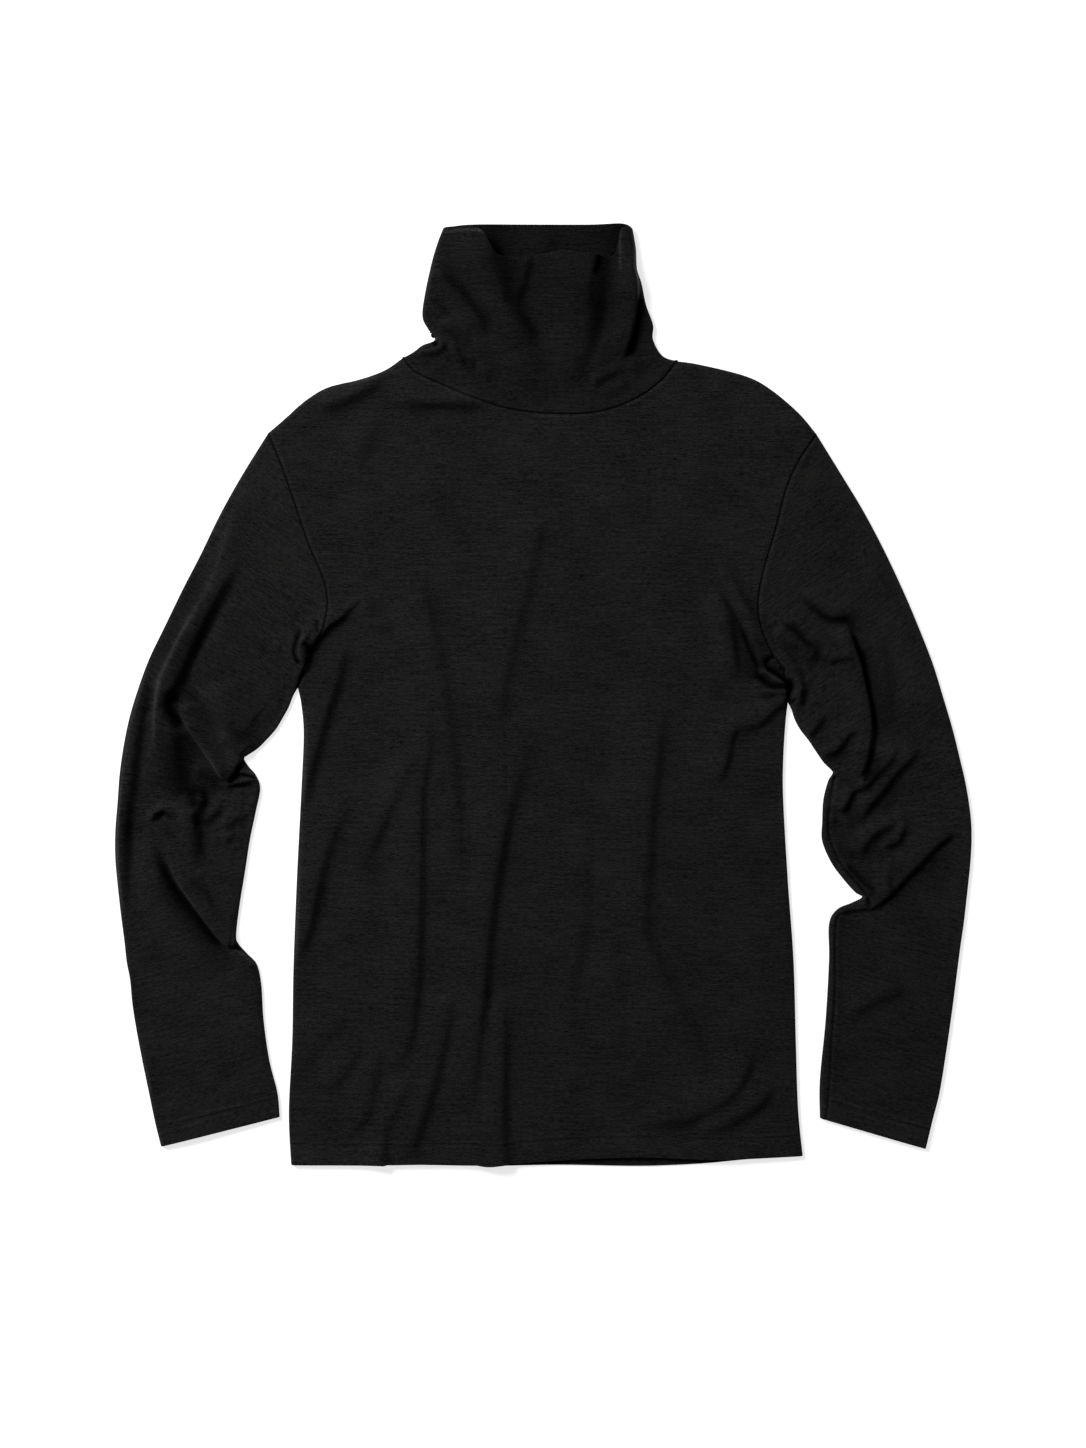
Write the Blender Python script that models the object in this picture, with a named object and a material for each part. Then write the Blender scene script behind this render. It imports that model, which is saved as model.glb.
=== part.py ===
"""A fine-knit turtleneck sweater, laid flat on its back on a level surface.

Five pieces of cloth, as they are cut and sewn: a front, a back, two sleeves and a roll collar.
Plan sizes are in millimetres: +X to the viewer's right, +Y towards the collar, +Z up from the
surface, which is z = 0. The origin is the middle of the sweater's extent on the surface.
Each piece is a wall with real thickness: the back lies on the surface, the front lies over it,
and each sleeve and the collar is a flattened tube, open at both ends.
"""
import math

import bmesh
import bpy
import numpy as np

MM = 0.001                    # the tables below are in millimetres, Blender's units are metres

# Cloth and seams
CLOTH = 1.0                   # one layer of jersey
COLLAR_CLOTH = 2.0            # the collar's jersey is doubled and folded over at its rim
SEAM_GAP = 0.3                # between two sewn pieces

# Heights over the surface
EDGE_HEIGHT = 2 * CLOTH + SEAM_GAP            # where an upper layer comes down to its edge
LOFT = 4.4                    # top of the upper layer where no fold lifts it
COLLAR_EDGE_HEIGHT = 2.6
COLLAR_LOFT_AT_NECK = 4.8
COLLAR_LOFT_AT_RIM = 7.4
COLLAR_RISE_LENGTH = 70.0     # distance from the neck seam over which the collar gains its loft
UNDER_LIFT = 1.2              # the most that the under layers leave the surface

# How the walls turn round at an edge
EDGE_RADIUS = 3.0
EDGE_INSET = 1.3              # from the outer edge to the inner face, measured level
LEAST_OPENING = 0.2           # of the hollow beside its edges, as a share of its full height
COLLAR_EDGE_RADIUS = 4.5
COLLAR_EDGE_INSET = 2.4

# How finely each outline is divided
SIDE_STEPS = 20
ARMHOLE_STEPS = 12            # an even number: an under layer takes every second one
SHOULDER_STEPS = 10
NECK_STEPS = 20
COLLAR_ROWS = 14
RING_SPACING = 27.0           # the most between two rings of a sleeve, along its outer edge
ARMHOLE_FADE = 3              # how soon a sleeve's rings lose the armhole's curve
BODY_LENGTH = 680.0           # hem to shoulder, along the front
COLLAR_WIDTH = 190.0          # across the laid collar

# Outlines of the body, each a list of (x, y)
SIDE_LEFT = [(-221, -411), (-223, -365), (-220, -302), (-219, -241), (-216, -162), (-212, -83),
             (-210, -35), (-212, -9), (-215, 6)]
SIDE_RIGHT = [(227, -403), (223, -362), (221, -302), (219, -232), (214, -162), (210, -92),
              (210, -57), (212, -24), (214, -7)]
ARMHOLE_LEFT = [(-215, 6), (-208, 30), (-196, 53), (-189, 76), (-192, 100), (-205, 131),
                (-217, 166), (-230, 203), (-241, 229)]
ARMHOLE_RIGHT = [(214, -7), (210, 20), (196, 44), (188, 72), (191, 102), (203, 144),
                 (213, 182), (225, 207), (239, 228)]
HEM_FRONT = [(-221, -411), (-143, -411), (-71, -410), (-49, -412), (-29, -410), (23, -406),
             (84, -404), (154, -406), (227, -403)]
HEM_BACK = [(-221, -411), (-126, -411), (-49, -412), (14, -411), (84, -412), (137, -410),
            (181, -406), (227, -403)]
SHOULDER_LEFT = [(-241, 229), (-227, 241), (-209, 257), (-189, 269), (-161, 276), (-139, 284),
                 (-123, 295)]
SHOULDER_RIGHT = [(117, 292), (137, 289), (177, 279), (198, 268), (223, 247), (239, 228)]
NECK_FRONT = [(-123, 295), (-113, 283), (-92, 273), (-64, 261), (-29, 250), (11, 246), (49, 248),
              (80, 259), (102, 274), (117, 292)]
NECK_BACK = [(-123, 295), (-60, 279), (0, 275), (60, 278), (117, 292)]

# Outlines of the collar
COLLAR_LEFT = [(-123, 295), (-114, 300), (-106, 306), (-95, 311), (-101, 320), (-106, 331),
               (-104, 350), (-98, 378), (-93, 395), (-88, 408)]
COLLAR_RIGHT = [(117, 292), (104, 297), (96, 311), (96, 324), (90, 341), (86, 360), (82, 373),
                (81, 391), (78, 408)]
RIM_FRONT = [(-88, 408), (-68, 408), (-54, 403), (-47, 393), (-38, 383), (-12, 382), (16, 387),
             (41, 384), (60, 382), (65, 394), (68, 406), (78, 408)]
RIM_BACK = [(-88, 408), (-64, 411), (-12, 411), (41, 411), (69, 412), (78, 408)]

# Sections of the sleeves from armhole to cuff: (x, y) at the outer edge, (x, y) at the inner edge
SLEEVE_LEFT = [
    (-241, 229, -215, 6), (-264, 192, -219, -1), (-283, 158, -223, -11), (-300, 123, -228, -20),
    (-316, 92, -234, -30), (-331, 61, -242, -39), (-345, 32, -250, -47), (-355, 5, -259, -53),
    (-362, -18, -262, -56), (-367, -41, -258, -63), (-371, -68, -252, -70), (-373, -94, -248, -82),
    (-375, -120, -252, -103), (-375, -143, -257, -127), (-373, -166, -261, -153),
    (-370, -193, -266, -184), (-367, -216, -269, -210), (-365, -234, -267, -218),
    (-362, -250, -259, -227), (-360, -271, -251, -236), (-356, -296, -247, -254),
    (-351, -322, -245, -285), (-345, -351, -240, -320), (-340, -375, -233, -348),
    (-335, -395, -231, -369)]
SLEEVE_RIGHT = [
    (239, 228, 214, -7), (260, 194, 217, -13), (280, 161, 220, -22), (298, 127, 225, -31),
    (315, 91, 232, -40), (329, 58, 238, -49), (341, 27, 245, -59), (350, -2, 252, -66),
    (358, -29, 253, -69), (364, -53, 249, -76), (370, -79, 245, -92), (374, -105, 244, -111),
    (375, -125, 244, -128), (374, -146, 252, -147), (372, -166, 263, -162), (370, -184, 273, -173),
    (368, -201, 279, -177), (365, -222, 270, -182), (362, -245, 257, -188), (358, -276, 250, -201),
    (353, -311, 250, -232), (347, -348, 247, -285), (341, -372, 242, -337), (335, -397, 242, -370)]

# The largest folds: each is a ridge along a smooth curve through the points of its path. Its
# steep side is on the left hand of that way, and its crest lies on the right of the curve.
# A fade is the share of the length over which the ridge grows or dies away, 0 at an open edge.
FOLD_COLUMNS = ("name", "path", "rise", "gentle", "steep", "fade_in", "fade_out")
FOLDS = [
    # front
    ("chest", ((0, 156), (-15, 80), (-33, 0), (-37, -45)), 3.2, 28, 9, .3, .3),
    ("chest_left", ((-107, 104), (-90, 42), (-77, -50), (-65, -205)), 2.8, 24, 9, .3, .4),
    ("long_centre", ((-3, -22), (-28, -105), (-46, -210), (-61, -355)), 5.4, 28, 9, .35, .4),
    ("short_left", ((-108, -40), (-133, -105), (-160, -160)), 3.8, 20, 8, .35, .4),
    ("long_left", ((-92, -34), (-104, -90), (-107, -215), (-126, -328)), 5.4, 28, 9, .35, .4),
    ("side_upper", ((-172, 48), (-183, -8), (-209, -103)), 4.8, 20, 8, .35, .4),
    ("side_lower", ((-160, -86), (-189, -145), (-216, -242)), 5, 22, 8, .35, .4),
    ("hem_left", ((-75, -258), (-88, -325), (-113, -404)), 5, 24, 8, .3, .1),
    ("hem_centre", ((-31, -262), (-33, -345), (-31, -418)), 6, 22, 9, .4, 0),
    ("hem_side", ((-106, -322), (-129, -367), (-139, -407)), 3.6, 14, 8, .3, 0),
    ("right_upper", ((111, 6), (97, -103), (92, -205), (124, -275), (150, -344)),
     3.8, 26, 9, .2, .4),
    ("hem_right", ((184, -312), (164, -355), (120, -375), (88, -377)), 3.2, 18, 8, .3, .3),
    ("underarm_left", ((-163, 84), (-184, 62), (-203, 36), (-213, 10)), 10, 14, 9, .35, 0),
    ("underarm_right", ((135, 104), (156, 87), (167, 45), (171, 20)), 5.4, 15, 9, .4, .4),
    ("underarm_right_low", ((214, -8), (185, -27), (166, -42), (158, -62)), 5, 12, 8, 0, .5),
    ("neck_left", ((-46, 252), (-100, 250), (-135, 257)), 3.4, 9, 8, .3, .3),
    ("shoulder_left", ((-139, 282), (-172, 255), (-196, 247)), 3, 10, 8, .2, .3),
    # left sleeve
    ("outer_edge", ((-320, 72), (-347, 0), (-364, -130), (-361, -205)), 4.5, 9, 8, .3, .3),
    ("ridge", ((-341, -62), (-338, 0), (-318, 52), (-275, 150), (-264, 190)),
     9, 18, 8, .3, .5),
    ("valley_upper", ((-258, 120), (-299, 52), (-331, -12)), 10, 18, 10, .4, .1),
    ("valley_lower", ((-329, 2), (-314, -55), (-308, -86)), 12, 12, 20, .1, .3),
    ("panel", ((-324, -6), (-293, 52), (-262, 108)), 6.5, 28, 8, .2, .5),
    ("flap", ((-277, -77), (-303, -35), (-319, -8)), 10, 18, 8, .2, .1),
    ("valley_low", ((-309, -92), (-303, -130), (-299, -160)), 6.5, 14, 8, .3, .4),
    ("lower_outside", ((-345, -124), (-318, -172), (-266, -234)), 10, 26, 10, .3, .15),
    ("lower_inside", ((-266, -224), (-309, -178), (-333, -138)), 9.5, 13, 8, .05, .4),
    # right sleeve
    ("outer_soft", ((283, 140), (313, 75), (333, 20)), 3.4, 25, 9, .4, .4),
    ("long_soft", ((297, 70), (306, -5), (305, -38)), 4.4, 12, 9, .4, .4),
    ("long", ((266, 60), (283, 15), (290, -32), (263, -103)), 10, 13, 8, .15, .15),
    ("top", ((273, 62), (252, 66), (221, 92)), 6, 16, 8, .35, .4),
    ("armpit", ((204, 66), (236, 42), (253, 37)), 5.4, 12, 8, .3, .3),
    ("diagonal_high", ((314, -39), (283, -78), (261, -106)), 6.4, 8, 8, .4, .2),
    ("diagonal_low", ((335, -40), (298, -86), (272, -120)), 6.4, 10, 8, .4, .3),
    ("elbow_fold", ((364, -119), (320, -162), (284, -189), (259, -193)), 10, 16, 9, .25, .1),
    # collar
    ("lobe", ((-44, 404), (-33, 352), (-9, 305), (-2, 284)), 11, 18, 10, 0, .4),
    ("lobe_left_side", ((-90, 380), (-68, 348), (-46, 312)), 6, 12, 8, .2, .4),
    ("lobe_low", ((-62, 278), (-78, 312), (-99, 323)), 5.4, 9, 8, .3, .2),
    ("plateau_edge", ((45, 392), (41, 340), (36, 285), (24, 258)), 6.4, 26, 9, 0, .5),
    ("strip_inner", ((37, 272), (57, 305), (65, 360), (65, 410)), 8, 9, 8, .4, 0),
    ("strip_outer", ((86, 366), (80, 320), (69, 288)), 9, 9, 8, 0, .3),
]
CREST_SHIFT = 0.8             # from a fold's curve to its crest, as a share of the steep width
FOLD_BLEND = 3.0              # how sharply the higher of two crossing folds wins
PATH_STEPS = 5                # straight stretches between two points of a path
STEEPEST = 1.6                # the most that a slope thickens the wall, measured upright
SLOPE_REACH = 1.0             # to either side of a point whose slope is taken

# Soft waves of the under layers, hidden below: start, middle and end point, rise, reach sideways
UNDER_WAVES = [
    ((-120, 160), (-100, 20), (-130, -120), 1.2, 30),
    ((60, 120), (90, -40), (70, -220), 1.0, 34),
    ((-60, -150), (-40, -260), (-70, -360), 1.1, 28),
    ((150, -200), (140, -280), (160, -370), 0.9, 26),
    ((-310, 60), (-320, -30), (-325, -120), 0.8, 24),
    ((-300, -250), (-296, -300), (-290, -350), 0.7, 20),
    ((300, 60), (310, -20), (318, -100), 0.9, 24),
    ((305, -260), (300, -300), (292, -345), 0.7, 20),
]

CLOTH_COLOUR = (0.0098, 0.0096, 0.0094, 1.0)  # black jersey
CLOTH_ROUGHNESS = 0.9
SHARP_ANGLE = math.radians(45)


def catmull_rom(points, where):
    """The point of a smooth curve through points, where 0 is the first one and 1 the next."""
    last = len(points) - 2
    start = min(int(where), last)
    t = where - start
    before = points[max(start - 1, 0)]
    after = points[min(start + 2, len(points) - 1)]
    a, b = points[start], points[start + 1]
    return 0.5 * (2 * a + (b - before) * t + (2 * before - 5 * a + 4 * b - after) * t ** 2
                  + (3 * a - before - 3 * b + after) * t ** 3)


def smooth_outline(table, steps, samples=12):
    """steps + 1 evenly spaced points along the smooth curve through a table's points."""
    points = np.array(table, dtype=float)
    count = (len(points) - 1) * samples
    fine = np.array([catmull_rom(points, k / samples) for k in range(count + 1)])
    travelled = np.concatenate([[0], np.cumsum(np.linalg.norm(np.diff(fine, axis=0), axis=1))])
    even = np.linspace(0, travelled[-1], steps + 1)
    return np.stack([np.interp(even, travelled, fine[:, axis]) for axis in (0, 1)], axis=1)


def along(vertices, shares):
    """Points at shares (0 to 1) of a chain whose vertices stand at even shares."""
    even = np.linspace(0, 1, len(vertices))
    return np.stack([np.interp(shares, even, vertices[:, axis]) for axis in (0, 1)], axis=1)


def chain(*outlines):
    """One chain of vertices from outlines that follow each other."""
    joined = [outlines[0]] + [outline[1:] for outline in outlines[1:]]
    return np.concatenate(joined)


def moved_off(vertices, towards, distance):
    """A chain moved sideways to the side on which the point towards lies."""
    directions = np.gradient(vertices, axis=0)
    directions /= np.linalg.norm(directions, axis=1)[:, None]
    normals = np.stack([-directions[:, 1], directions[:, 0]], axis=1)
    middle = len(vertices) // 2
    if np.dot(normals[middle], np.array(towards) - vertices[middle]) < 0:
        normals = -normals
    return vertices + normals * distance


def patch(low, high, left, right, across, up):
    """A grid of plan points between four chains, each chain kept exactly (a Coons patch)."""
    low, high = along(low, across), along(high, across)
    left, right = along(left, up), along(right, up)
    u = across[None, :, None]
    v = up[:, None, None]
    ruled = (1 - v) * low[None] + v * high[None] + (1 - u) * left[:, None] + u * right[:, None]
    corners = ((1 - v) * ((1 - u) * low[0] + u * low[-1])
               + v * ((1 - u) * high[0] + u * high[-1]))
    return ruled - corners


def distance_to_chain(xy, vertices):
    """For each plan point: distance to a chain, signed offset (left +) and share of its length."""
    starts, spans = vertices[:-1], np.diff(vertices, axis=0)
    offset = xy[..., None, :] - starts
    share = np.clip((offset * spans).sum(-1) / (spans ** 2).sum(-1), 0, 1)
    nearest = offset - share[..., None] * spans
    distance = np.linalg.norm(nearest, axis=-1)
    best = distance.argmin(-1)[..., None]
    side = np.sign(spans[:, 0] * offset[..., 1] - spans[:, 1] * offset[..., 0])
    taken = [np.take_along_axis(values, best, -1)[..., 0] for values in (distance, side, share)]
    return taken[0], taken[0] * taken[1], (best[..., 0] + taken[2]) / len(spans)


def soft_step(value):
    value = np.clip(value, 0, 1)
    return value * value * (3 - 2 * value)


def smooth_path(points):
    return smooth_outline(points, PATH_STEPS * (len(points) - 1))


def fold_rise(xy):
    """How far the folds lift the cloth at each plan point."""
    total = np.zeros(xy.shape[:-1])
    for row in FOLDS:
        fold = dict(zip(FOLD_COLUMNS, row))
        _, offset, share = distance_to_chain(xy, smooth_path(fold["path"]))
        from_crest = offset + CREST_SHIFT * fold["steep"]
        width = np.where(from_crest > 0, fold["steep"], fold["gentle"])
        rise = fold["rise"] * np.exp(-(from_crest / width) ** 2)
        if fold["fade_in"]:
            rise = rise * soft_step(share / fold["fade_in"])
        if fold["fade_out"]:
            rise = rise * soft_step((1 - share) / fold["fade_out"])
        total += rise ** FOLD_BLEND
    return total ** (1 / FOLD_BLEND)


def under_rise(xy):
    """How far the hidden waves lift the under layers off the surface."""
    total = np.zeros(xy.shape[:-1])
    for start, middle, end, rise, width in UNDER_WAVES:
        distance, _, share = distance_to_chain(xy, smooth_path((start, middle, end)))
        closeness = np.clip(1 - (distance / width) ** 2, 0, 1)
        total += rise * closeness ** 2 * soft_step(4 * share * (1 - share))
    return np.minimum(total, UNDER_LIFT)


def body_loft(xy):
    return LOFT + fold_rise(xy)


def collar_loft(xy):
    distance, _, _ = distance_to_chain(xy, neck_front)
    gained = soft_step(distance / COLLAR_RISE_LENGTH)
    return COLLAR_LOFT_AT_NECK + (COLLAR_LOFT_AT_RIM - COLLAR_LOFT_AT_NECK) * gained + fold_rise(xy)


def edge_distance(xy):
    """Distance to the nearest edge at which the cloth turns down to the surface."""
    return np.min([distance_to_chain(xy, edge)[0] for edge in turned_edges], axis=0)


def turn(distance, radius):
    """0 at an edge, 1 a radius away, round in between."""
    return np.sqrt(1 - (1 - np.clip(distance / radius, 0, 1)) ** 2)


def upright_wall(xy, loft, wall):
    """The wall's upright thickness, larger on a slope so that the cloth itself keeps its own."""
    east, north = np.array([SLOPE_REACH, 0]), np.array([0, SLOPE_REACH])
    slope_x = (loft(xy + east) - loft(xy - east)) / (2 * SLOPE_REACH)
    slope_y = (loft(xy + north) - loft(xy - north)) / (2 * SLOPE_REACH)
    return wall * np.minimum(np.sqrt(1 + slope_x ** 2 + slope_y ** 2), STEEPEST)


class Layers:
    """Heights of cloth that lies doubled: the outer and inner face of its over and under layer."""

    def __init__(self, loft, wall, edge_height, radius, inset):
        self.loft, self.wall, self.edge_height = loft, wall, edge_height
        self.radius, self.inset = radius, inset

    def over_outer(self, xy):
        rise = turn(edge_distance(xy), self.radius)
        return self.edge_height + (self.loft(xy) - self.edge_height) * rise

    def opened(self, xy):
        """How far the hollow inside has opened at a point, from 0 to 1."""
        turned = turn(edge_distance(xy) - self.inset, self.radius - self.inset)
        return np.maximum(turned, LEAST_OPENING)

    def over_inner(self, xy):
        height = self.loft(xy) - upright_wall(xy, self.loft, self.wall)
        return self.edge_height + (height - self.edge_height) * self.opened(xy)

    def under_outer(self, xy):
        fall = turn(edge_distance(xy), self.radius)
        return self.edge_height + (under_rise(xy) - self.edge_height) * fall

    def under_inner(self, xy):
        height = under_rise(xy) + self.wall
        return self.edge_height + (height - self.edge_height) * self.opened(xy)


def with_height(xy, heights):
    return np.concatenate([xy, heights[..., None]], axis=-1)


def cloth_body(name, outer, inner, ring):
    """One closed body between an outer and an inner grid of points, a tube where ring is true."""
    rows, columns = outer.shape[:2]
    mesh = bmesh.new()
    faces = [[[mesh.verts.new(point * MM) for point in row] for row in grid]
             for grid in (outer, inner)]
    last = columns if ring else columns - 1
    for row in range(rows - 1):
        for column in range(last):
            after = (column + 1) % columns
            corners = [(row, column), (row, after), (row + 1, after), (row + 1, column)]
            heights = [outer[corner][2] for corner in corners]
            turned = abs(heights[0] - heights[2]) > abs(heights[1] - heights[3])
            first, second = ((1, 2, 3), (1, 3, 0)) if turned else ((0, 1, 2), (0, 2, 3))
            for grid in faces:
                for triangle in (first, second):
                    mesh.faces.new([grid[corners[k][0]][corners[k][1]] for k in triangle])
    for row in (0, rows - 1):
        for column in range(last):
            after = (column + 1) % columns
            mesh.faces.new([faces[0][row][column], faces[0][row][after],
                            faces[1][row][after], faces[1][row][column]])
    if not ring:
        for column in (0, columns - 1):
            for row in range(rows - 1):
                mesh.faces.new([faces[0][row][column], faces[0][row + 1][column],
                                faces[1][row + 1][column], faces[1][row][column]])
    bmesh.ops.recalc_face_normals(mesh, faces=mesh.faces)
    data = bpy.data.meshes.new(name)
    mesh.to_mesh(data)
    mesh.free()
    data.shade_smooth()
    data.set_sharp_from_angle(angle=SHARP_ANGLE)
    data.materials.append(jersey(name))
    collection.objects.link(bpy.data.objects.new(name, data))


def jersey(piece):
    material = bpy.data.materials.new(piece + "_jersey")
    material.use_nodes = True
    shader = material.node_tree.nodes["Principled BSDF"]
    shader.inputs["Base Color"].default_value = CLOTH_COLOUR
    shader.inputs["Roughness"].default_value = CLOTH_ROUGHNESS
    shader.inputs["Metallic"].default_value = 0.0
    return material


def near_edge_shares(steps, near):
    """Even shares, with one more close to each end where the cloth turns down."""
    return np.array(sorted({k / steps for k in range(steps + 1)} | {near, 1 - near}))


def front_plan():
    """The front's grid: columns across, rows from the hem to the shoulders and the neckline."""
    top = chain(shoulder_left, neck_front, shoulder_right)
    left, right = chain(side_left, armhole_left), chain(side_right, armhole_right)
    across = near_edge_shares(len(top) - 1, EDGE_RADIUS / np.linalg.norm(top[-1] - top[0]))
    up = np.append(np.linspace(0, 1, len(left))[:-1], [1 - EDGE_RADIUS / BODY_LENGTH, 1])
    return patch(hem_front, top, left, right, across, up)


def back_plan():
    top = chain(shoulder_left[::2], neck_back, shoulder_right[::2])
    left = chain(side_left[::2], armhole_left[::2])
    right = chain(side_right[::2], armhole_right[::2])
    return patch(hem_back, top, left, right, np.linspace(0, 1, len(top)),
                 np.linspace(0, 1, len(left)))


def sleeve_plan(table, armhole):
    """The sleeve's rings from armhole to cuff: points of the over layer and of the under layer."""
    table = np.array(table, dtype=float)
    outer_edge, inner_edge = table[:, :2], table[:, 2:]
    gaps = np.linalg.norm(np.diff(outer_edge, axis=0), axis=1)
    stations = [0.0]
    for row, gap in enumerate(gaps):
        parts = math.ceil(gap / RING_SPACING)
        stations += [row + (k + 1) / parts for k in range(parts)]
    elbow = outer_edge[len(outer_edge) // 2]
    seams = [moved_off(armhole, elbow, SEAM_GAP), moved_off(armhole[::2], elbow, SEAM_GAP)]
    over, under = [], []
    for station in stations:
        inner = catmull_rom(inner_edge, station)
        outer = catmull_rom(outer_edge, station)
        near = EDGE_RADIUS / np.linalg.norm(outer - inner)
        likeness = (1 - station / (len(table) - 1)) ** ARMHOLE_FADE
        layers = []
        for seam in seams:
            shares = near_edge_shares(len(seam) - 1, near)[:, None]
            straight = inner + (outer - inner) * shares
            first = inner_edge[0] + (outer_edge[0] - inner_edge[0]) * shares
            layers.append(straight + likeness * (along(seam, shares[:, 0]) - first))
        upper, lower = layers
        lower[[1, -2]] = upper[[1, -2]]
        over.append(upper)
        under.append(lower[-2:0:-1])
    return np.array(over), np.array(under)


def collar_plan():
    """The collar's rows from the neck seam to the rim, over layer and under layer."""
    near = COLLAR_EDGE_RADIUS / COLLAR_WIDTH
    up = np.linspace(0, 1, COLLAR_ROWS + 1)
    over_seam = moved_off(neck_front, rim_front[NECK_STEPS // 2], SEAM_GAP)
    under_seam = moved_off(neck_back, rim_back[NECK_STEPS // 4], SEAM_GAP)
    under_seam[0], under_seam[-1] = over_seam[0], over_seam[-1]
    left, right = collar_left.copy(), collar_right.copy()
    left[0], right[0] = over_seam[0], over_seam[-1]
    over = patch(over_seam, rim_front, left, right, near_edge_shares(NECK_STEPS, near), up)
    under = patch(under_seam, rim_back, left, right, near_edge_shares(NECK_STEPS // 2, near), up)
    return over, under[:, -2:0:-1]


def make_front():
    xy = front_plan()
    heights = body_layers.over_outer(xy)
    thicker = upright_wall(xy, body_loft, CLOTH) - CLOTH
    wall = CLOTH + thicker * turn(edge_distance(xy), EDGE_RADIUS)
    cloth_body("front", with_height(xy, heights), with_height(xy, heights - wall), ring=False)


def make_back():
    xy = back_plan()
    lift = under_rise(xy)
    cloth_body("back", with_height(xy, lift), with_height(xy, lift + CLOTH), ring=False)


def make_tube(name, plan, layers, follows_under=False):
    """A flattened tube: its rings run over the top from one edge to the other and back below.

    The inner face's edges lie in line with the over layer's seam, or with the under layer's.
    """
    over, under = plan
    inner_over = over.copy()
    share = layers.inset / layers.radius
    beside = (under[:, -1], under[:, 0]) if follows_under else (over[:, 1], over[:, -2])
    for column, neighbour in zip((0, -1), beside):
        inner_over[:, column] += (neighbour - over[:, column]) * share
    outer = [with_height(over, layers.over_outer(over)),
             with_height(under, layers.under_outer(under))]
    inner = [with_height(inner_over, layers.over_inner(inner_over)),
             with_height(under, layers.under_inner(under))]
    inner[0][:, [0, -1], 2] = layers.edge_height
    cloth_body(name, np.concatenate(outer, axis=1), np.concatenate(inner, axis=1), ring=True)


# The scene is emptied, and everything below goes into one collection
for leftover in list(bpy.data.objects):
    bpy.data.objects.remove(leftover)
collection = bpy.data.collections.new("turtleneck_sweater")
bpy.context.scene.collection.children.link(collection)

# Outlines as chains of vertices that neighbouring pieces share
side_left = smooth_outline(SIDE_LEFT, SIDE_STEPS)
side_right = smooth_outline(SIDE_RIGHT, SIDE_STEPS)
armhole_left = smooth_outline(ARMHOLE_LEFT, ARMHOLE_STEPS)
armhole_right = smooth_outline(ARMHOLE_RIGHT, ARMHOLE_STEPS)
shoulder_left = smooth_outline(SHOULDER_LEFT, SHOULDER_STEPS)
shoulder_right = smooth_outline(SHOULDER_RIGHT, SHOULDER_STEPS)
neck_front = smooth_outline(NECK_FRONT, NECK_STEPS)
neck_back = smooth_outline(NECK_BACK, NECK_STEPS // 2)
hem_front = smooth_outline(HEM_FRONT, 2 * SHOULDER_STEPS + NECK_STEPS)
hem_back = smooth_outline(HEM_BACK, SHOULDER_STEPS + NECK_STEPS // 2)
collar_left = smooth_outline(COLLAR_LEFT, COLLAR_ROWS)
collar_right = smooth_outline(COLLAR_RIGHT, COLLAR_ROWS)
rim_front = smooth_outline(RIM_FRONT, NECK_STEPS)
rim_back = smooth_outline(RIM_BACK, NECK_STEPS // 2)

sleeves = {"sleeve_left": sleeve_plan(SLEEVE_LEFT, armhole_left),
           "sleeve_right": sleeve_plan(SLEEVE_RIGHT, armhole_right)}
collar = collar_plan()
turned_edges = [side_left, side_right, shoulder_left, shoulder_right]
for tube, _ in [*sleeves.values(), collar]:
    turned_edges += [tube[:, 0], tube[:, -1]]

body_layers = Layers(body_loft, CLOTH, EDGE_HEIGHT, EDGE_RADIUS, EDGE_INSET)
collar_layers = Layers(collar_loft, COLLAR_CLOTH, COLLAR_EDGE_HEIGHT, COLLAR_EDGE_RADIUS,
                       COLLAR_EDGE_INSET)

make_front()
make_back()
for piece, plan in sleeves.items():
    make_tube(piece, plan, body_layers)
make_tube("collar", collar, collar_layers, follows_under=True)
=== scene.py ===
# %% [markdown]
# # A black turtleneck sweater, laid flat
#
# The sweater is sewn from five pieces of fine jersey: a front, a back, two sleeves and a tall
# roll collar. It lies on its back on a table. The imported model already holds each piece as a
# plain wall of cloth at its real size. This notebook gives every piece its finished surface:
# dense cloth with soft folds, seams, hems with twin rows of stitches, and a heathered black yarn.
#
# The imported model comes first, because every piece has to lie where its plain solid lies.

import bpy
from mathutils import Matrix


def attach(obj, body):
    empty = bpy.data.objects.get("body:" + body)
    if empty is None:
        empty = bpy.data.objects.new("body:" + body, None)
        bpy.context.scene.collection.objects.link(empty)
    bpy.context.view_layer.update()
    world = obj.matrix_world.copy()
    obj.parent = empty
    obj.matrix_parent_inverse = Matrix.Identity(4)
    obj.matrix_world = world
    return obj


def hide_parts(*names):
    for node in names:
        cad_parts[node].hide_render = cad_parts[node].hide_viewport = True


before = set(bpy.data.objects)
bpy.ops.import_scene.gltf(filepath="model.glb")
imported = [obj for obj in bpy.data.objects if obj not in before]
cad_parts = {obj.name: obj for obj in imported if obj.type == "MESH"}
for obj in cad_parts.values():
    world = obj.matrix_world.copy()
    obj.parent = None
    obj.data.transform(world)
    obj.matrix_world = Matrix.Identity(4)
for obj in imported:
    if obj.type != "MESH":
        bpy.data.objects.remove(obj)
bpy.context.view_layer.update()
print("packed pieces:", sorted(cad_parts))

# %% The tools of this notebook
import math

import bpy
import numpy as np
from mathutils import Vector
from mathutils.kdtree import KDTree

MM = 0.001                     # the tables are in millimetres, Blender works in metres

# %% [markdown]
# ## The measures of the cloth
#
# Laid cloth is two layers: one rests on the table and one lies loosely on top. At the sides the
# upper layer turns down in a small round and meets the lower one. All heights are counted from
# the table. A fine jersey is about a millimetre thick, and the collar is the same jersey doubled.

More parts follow.
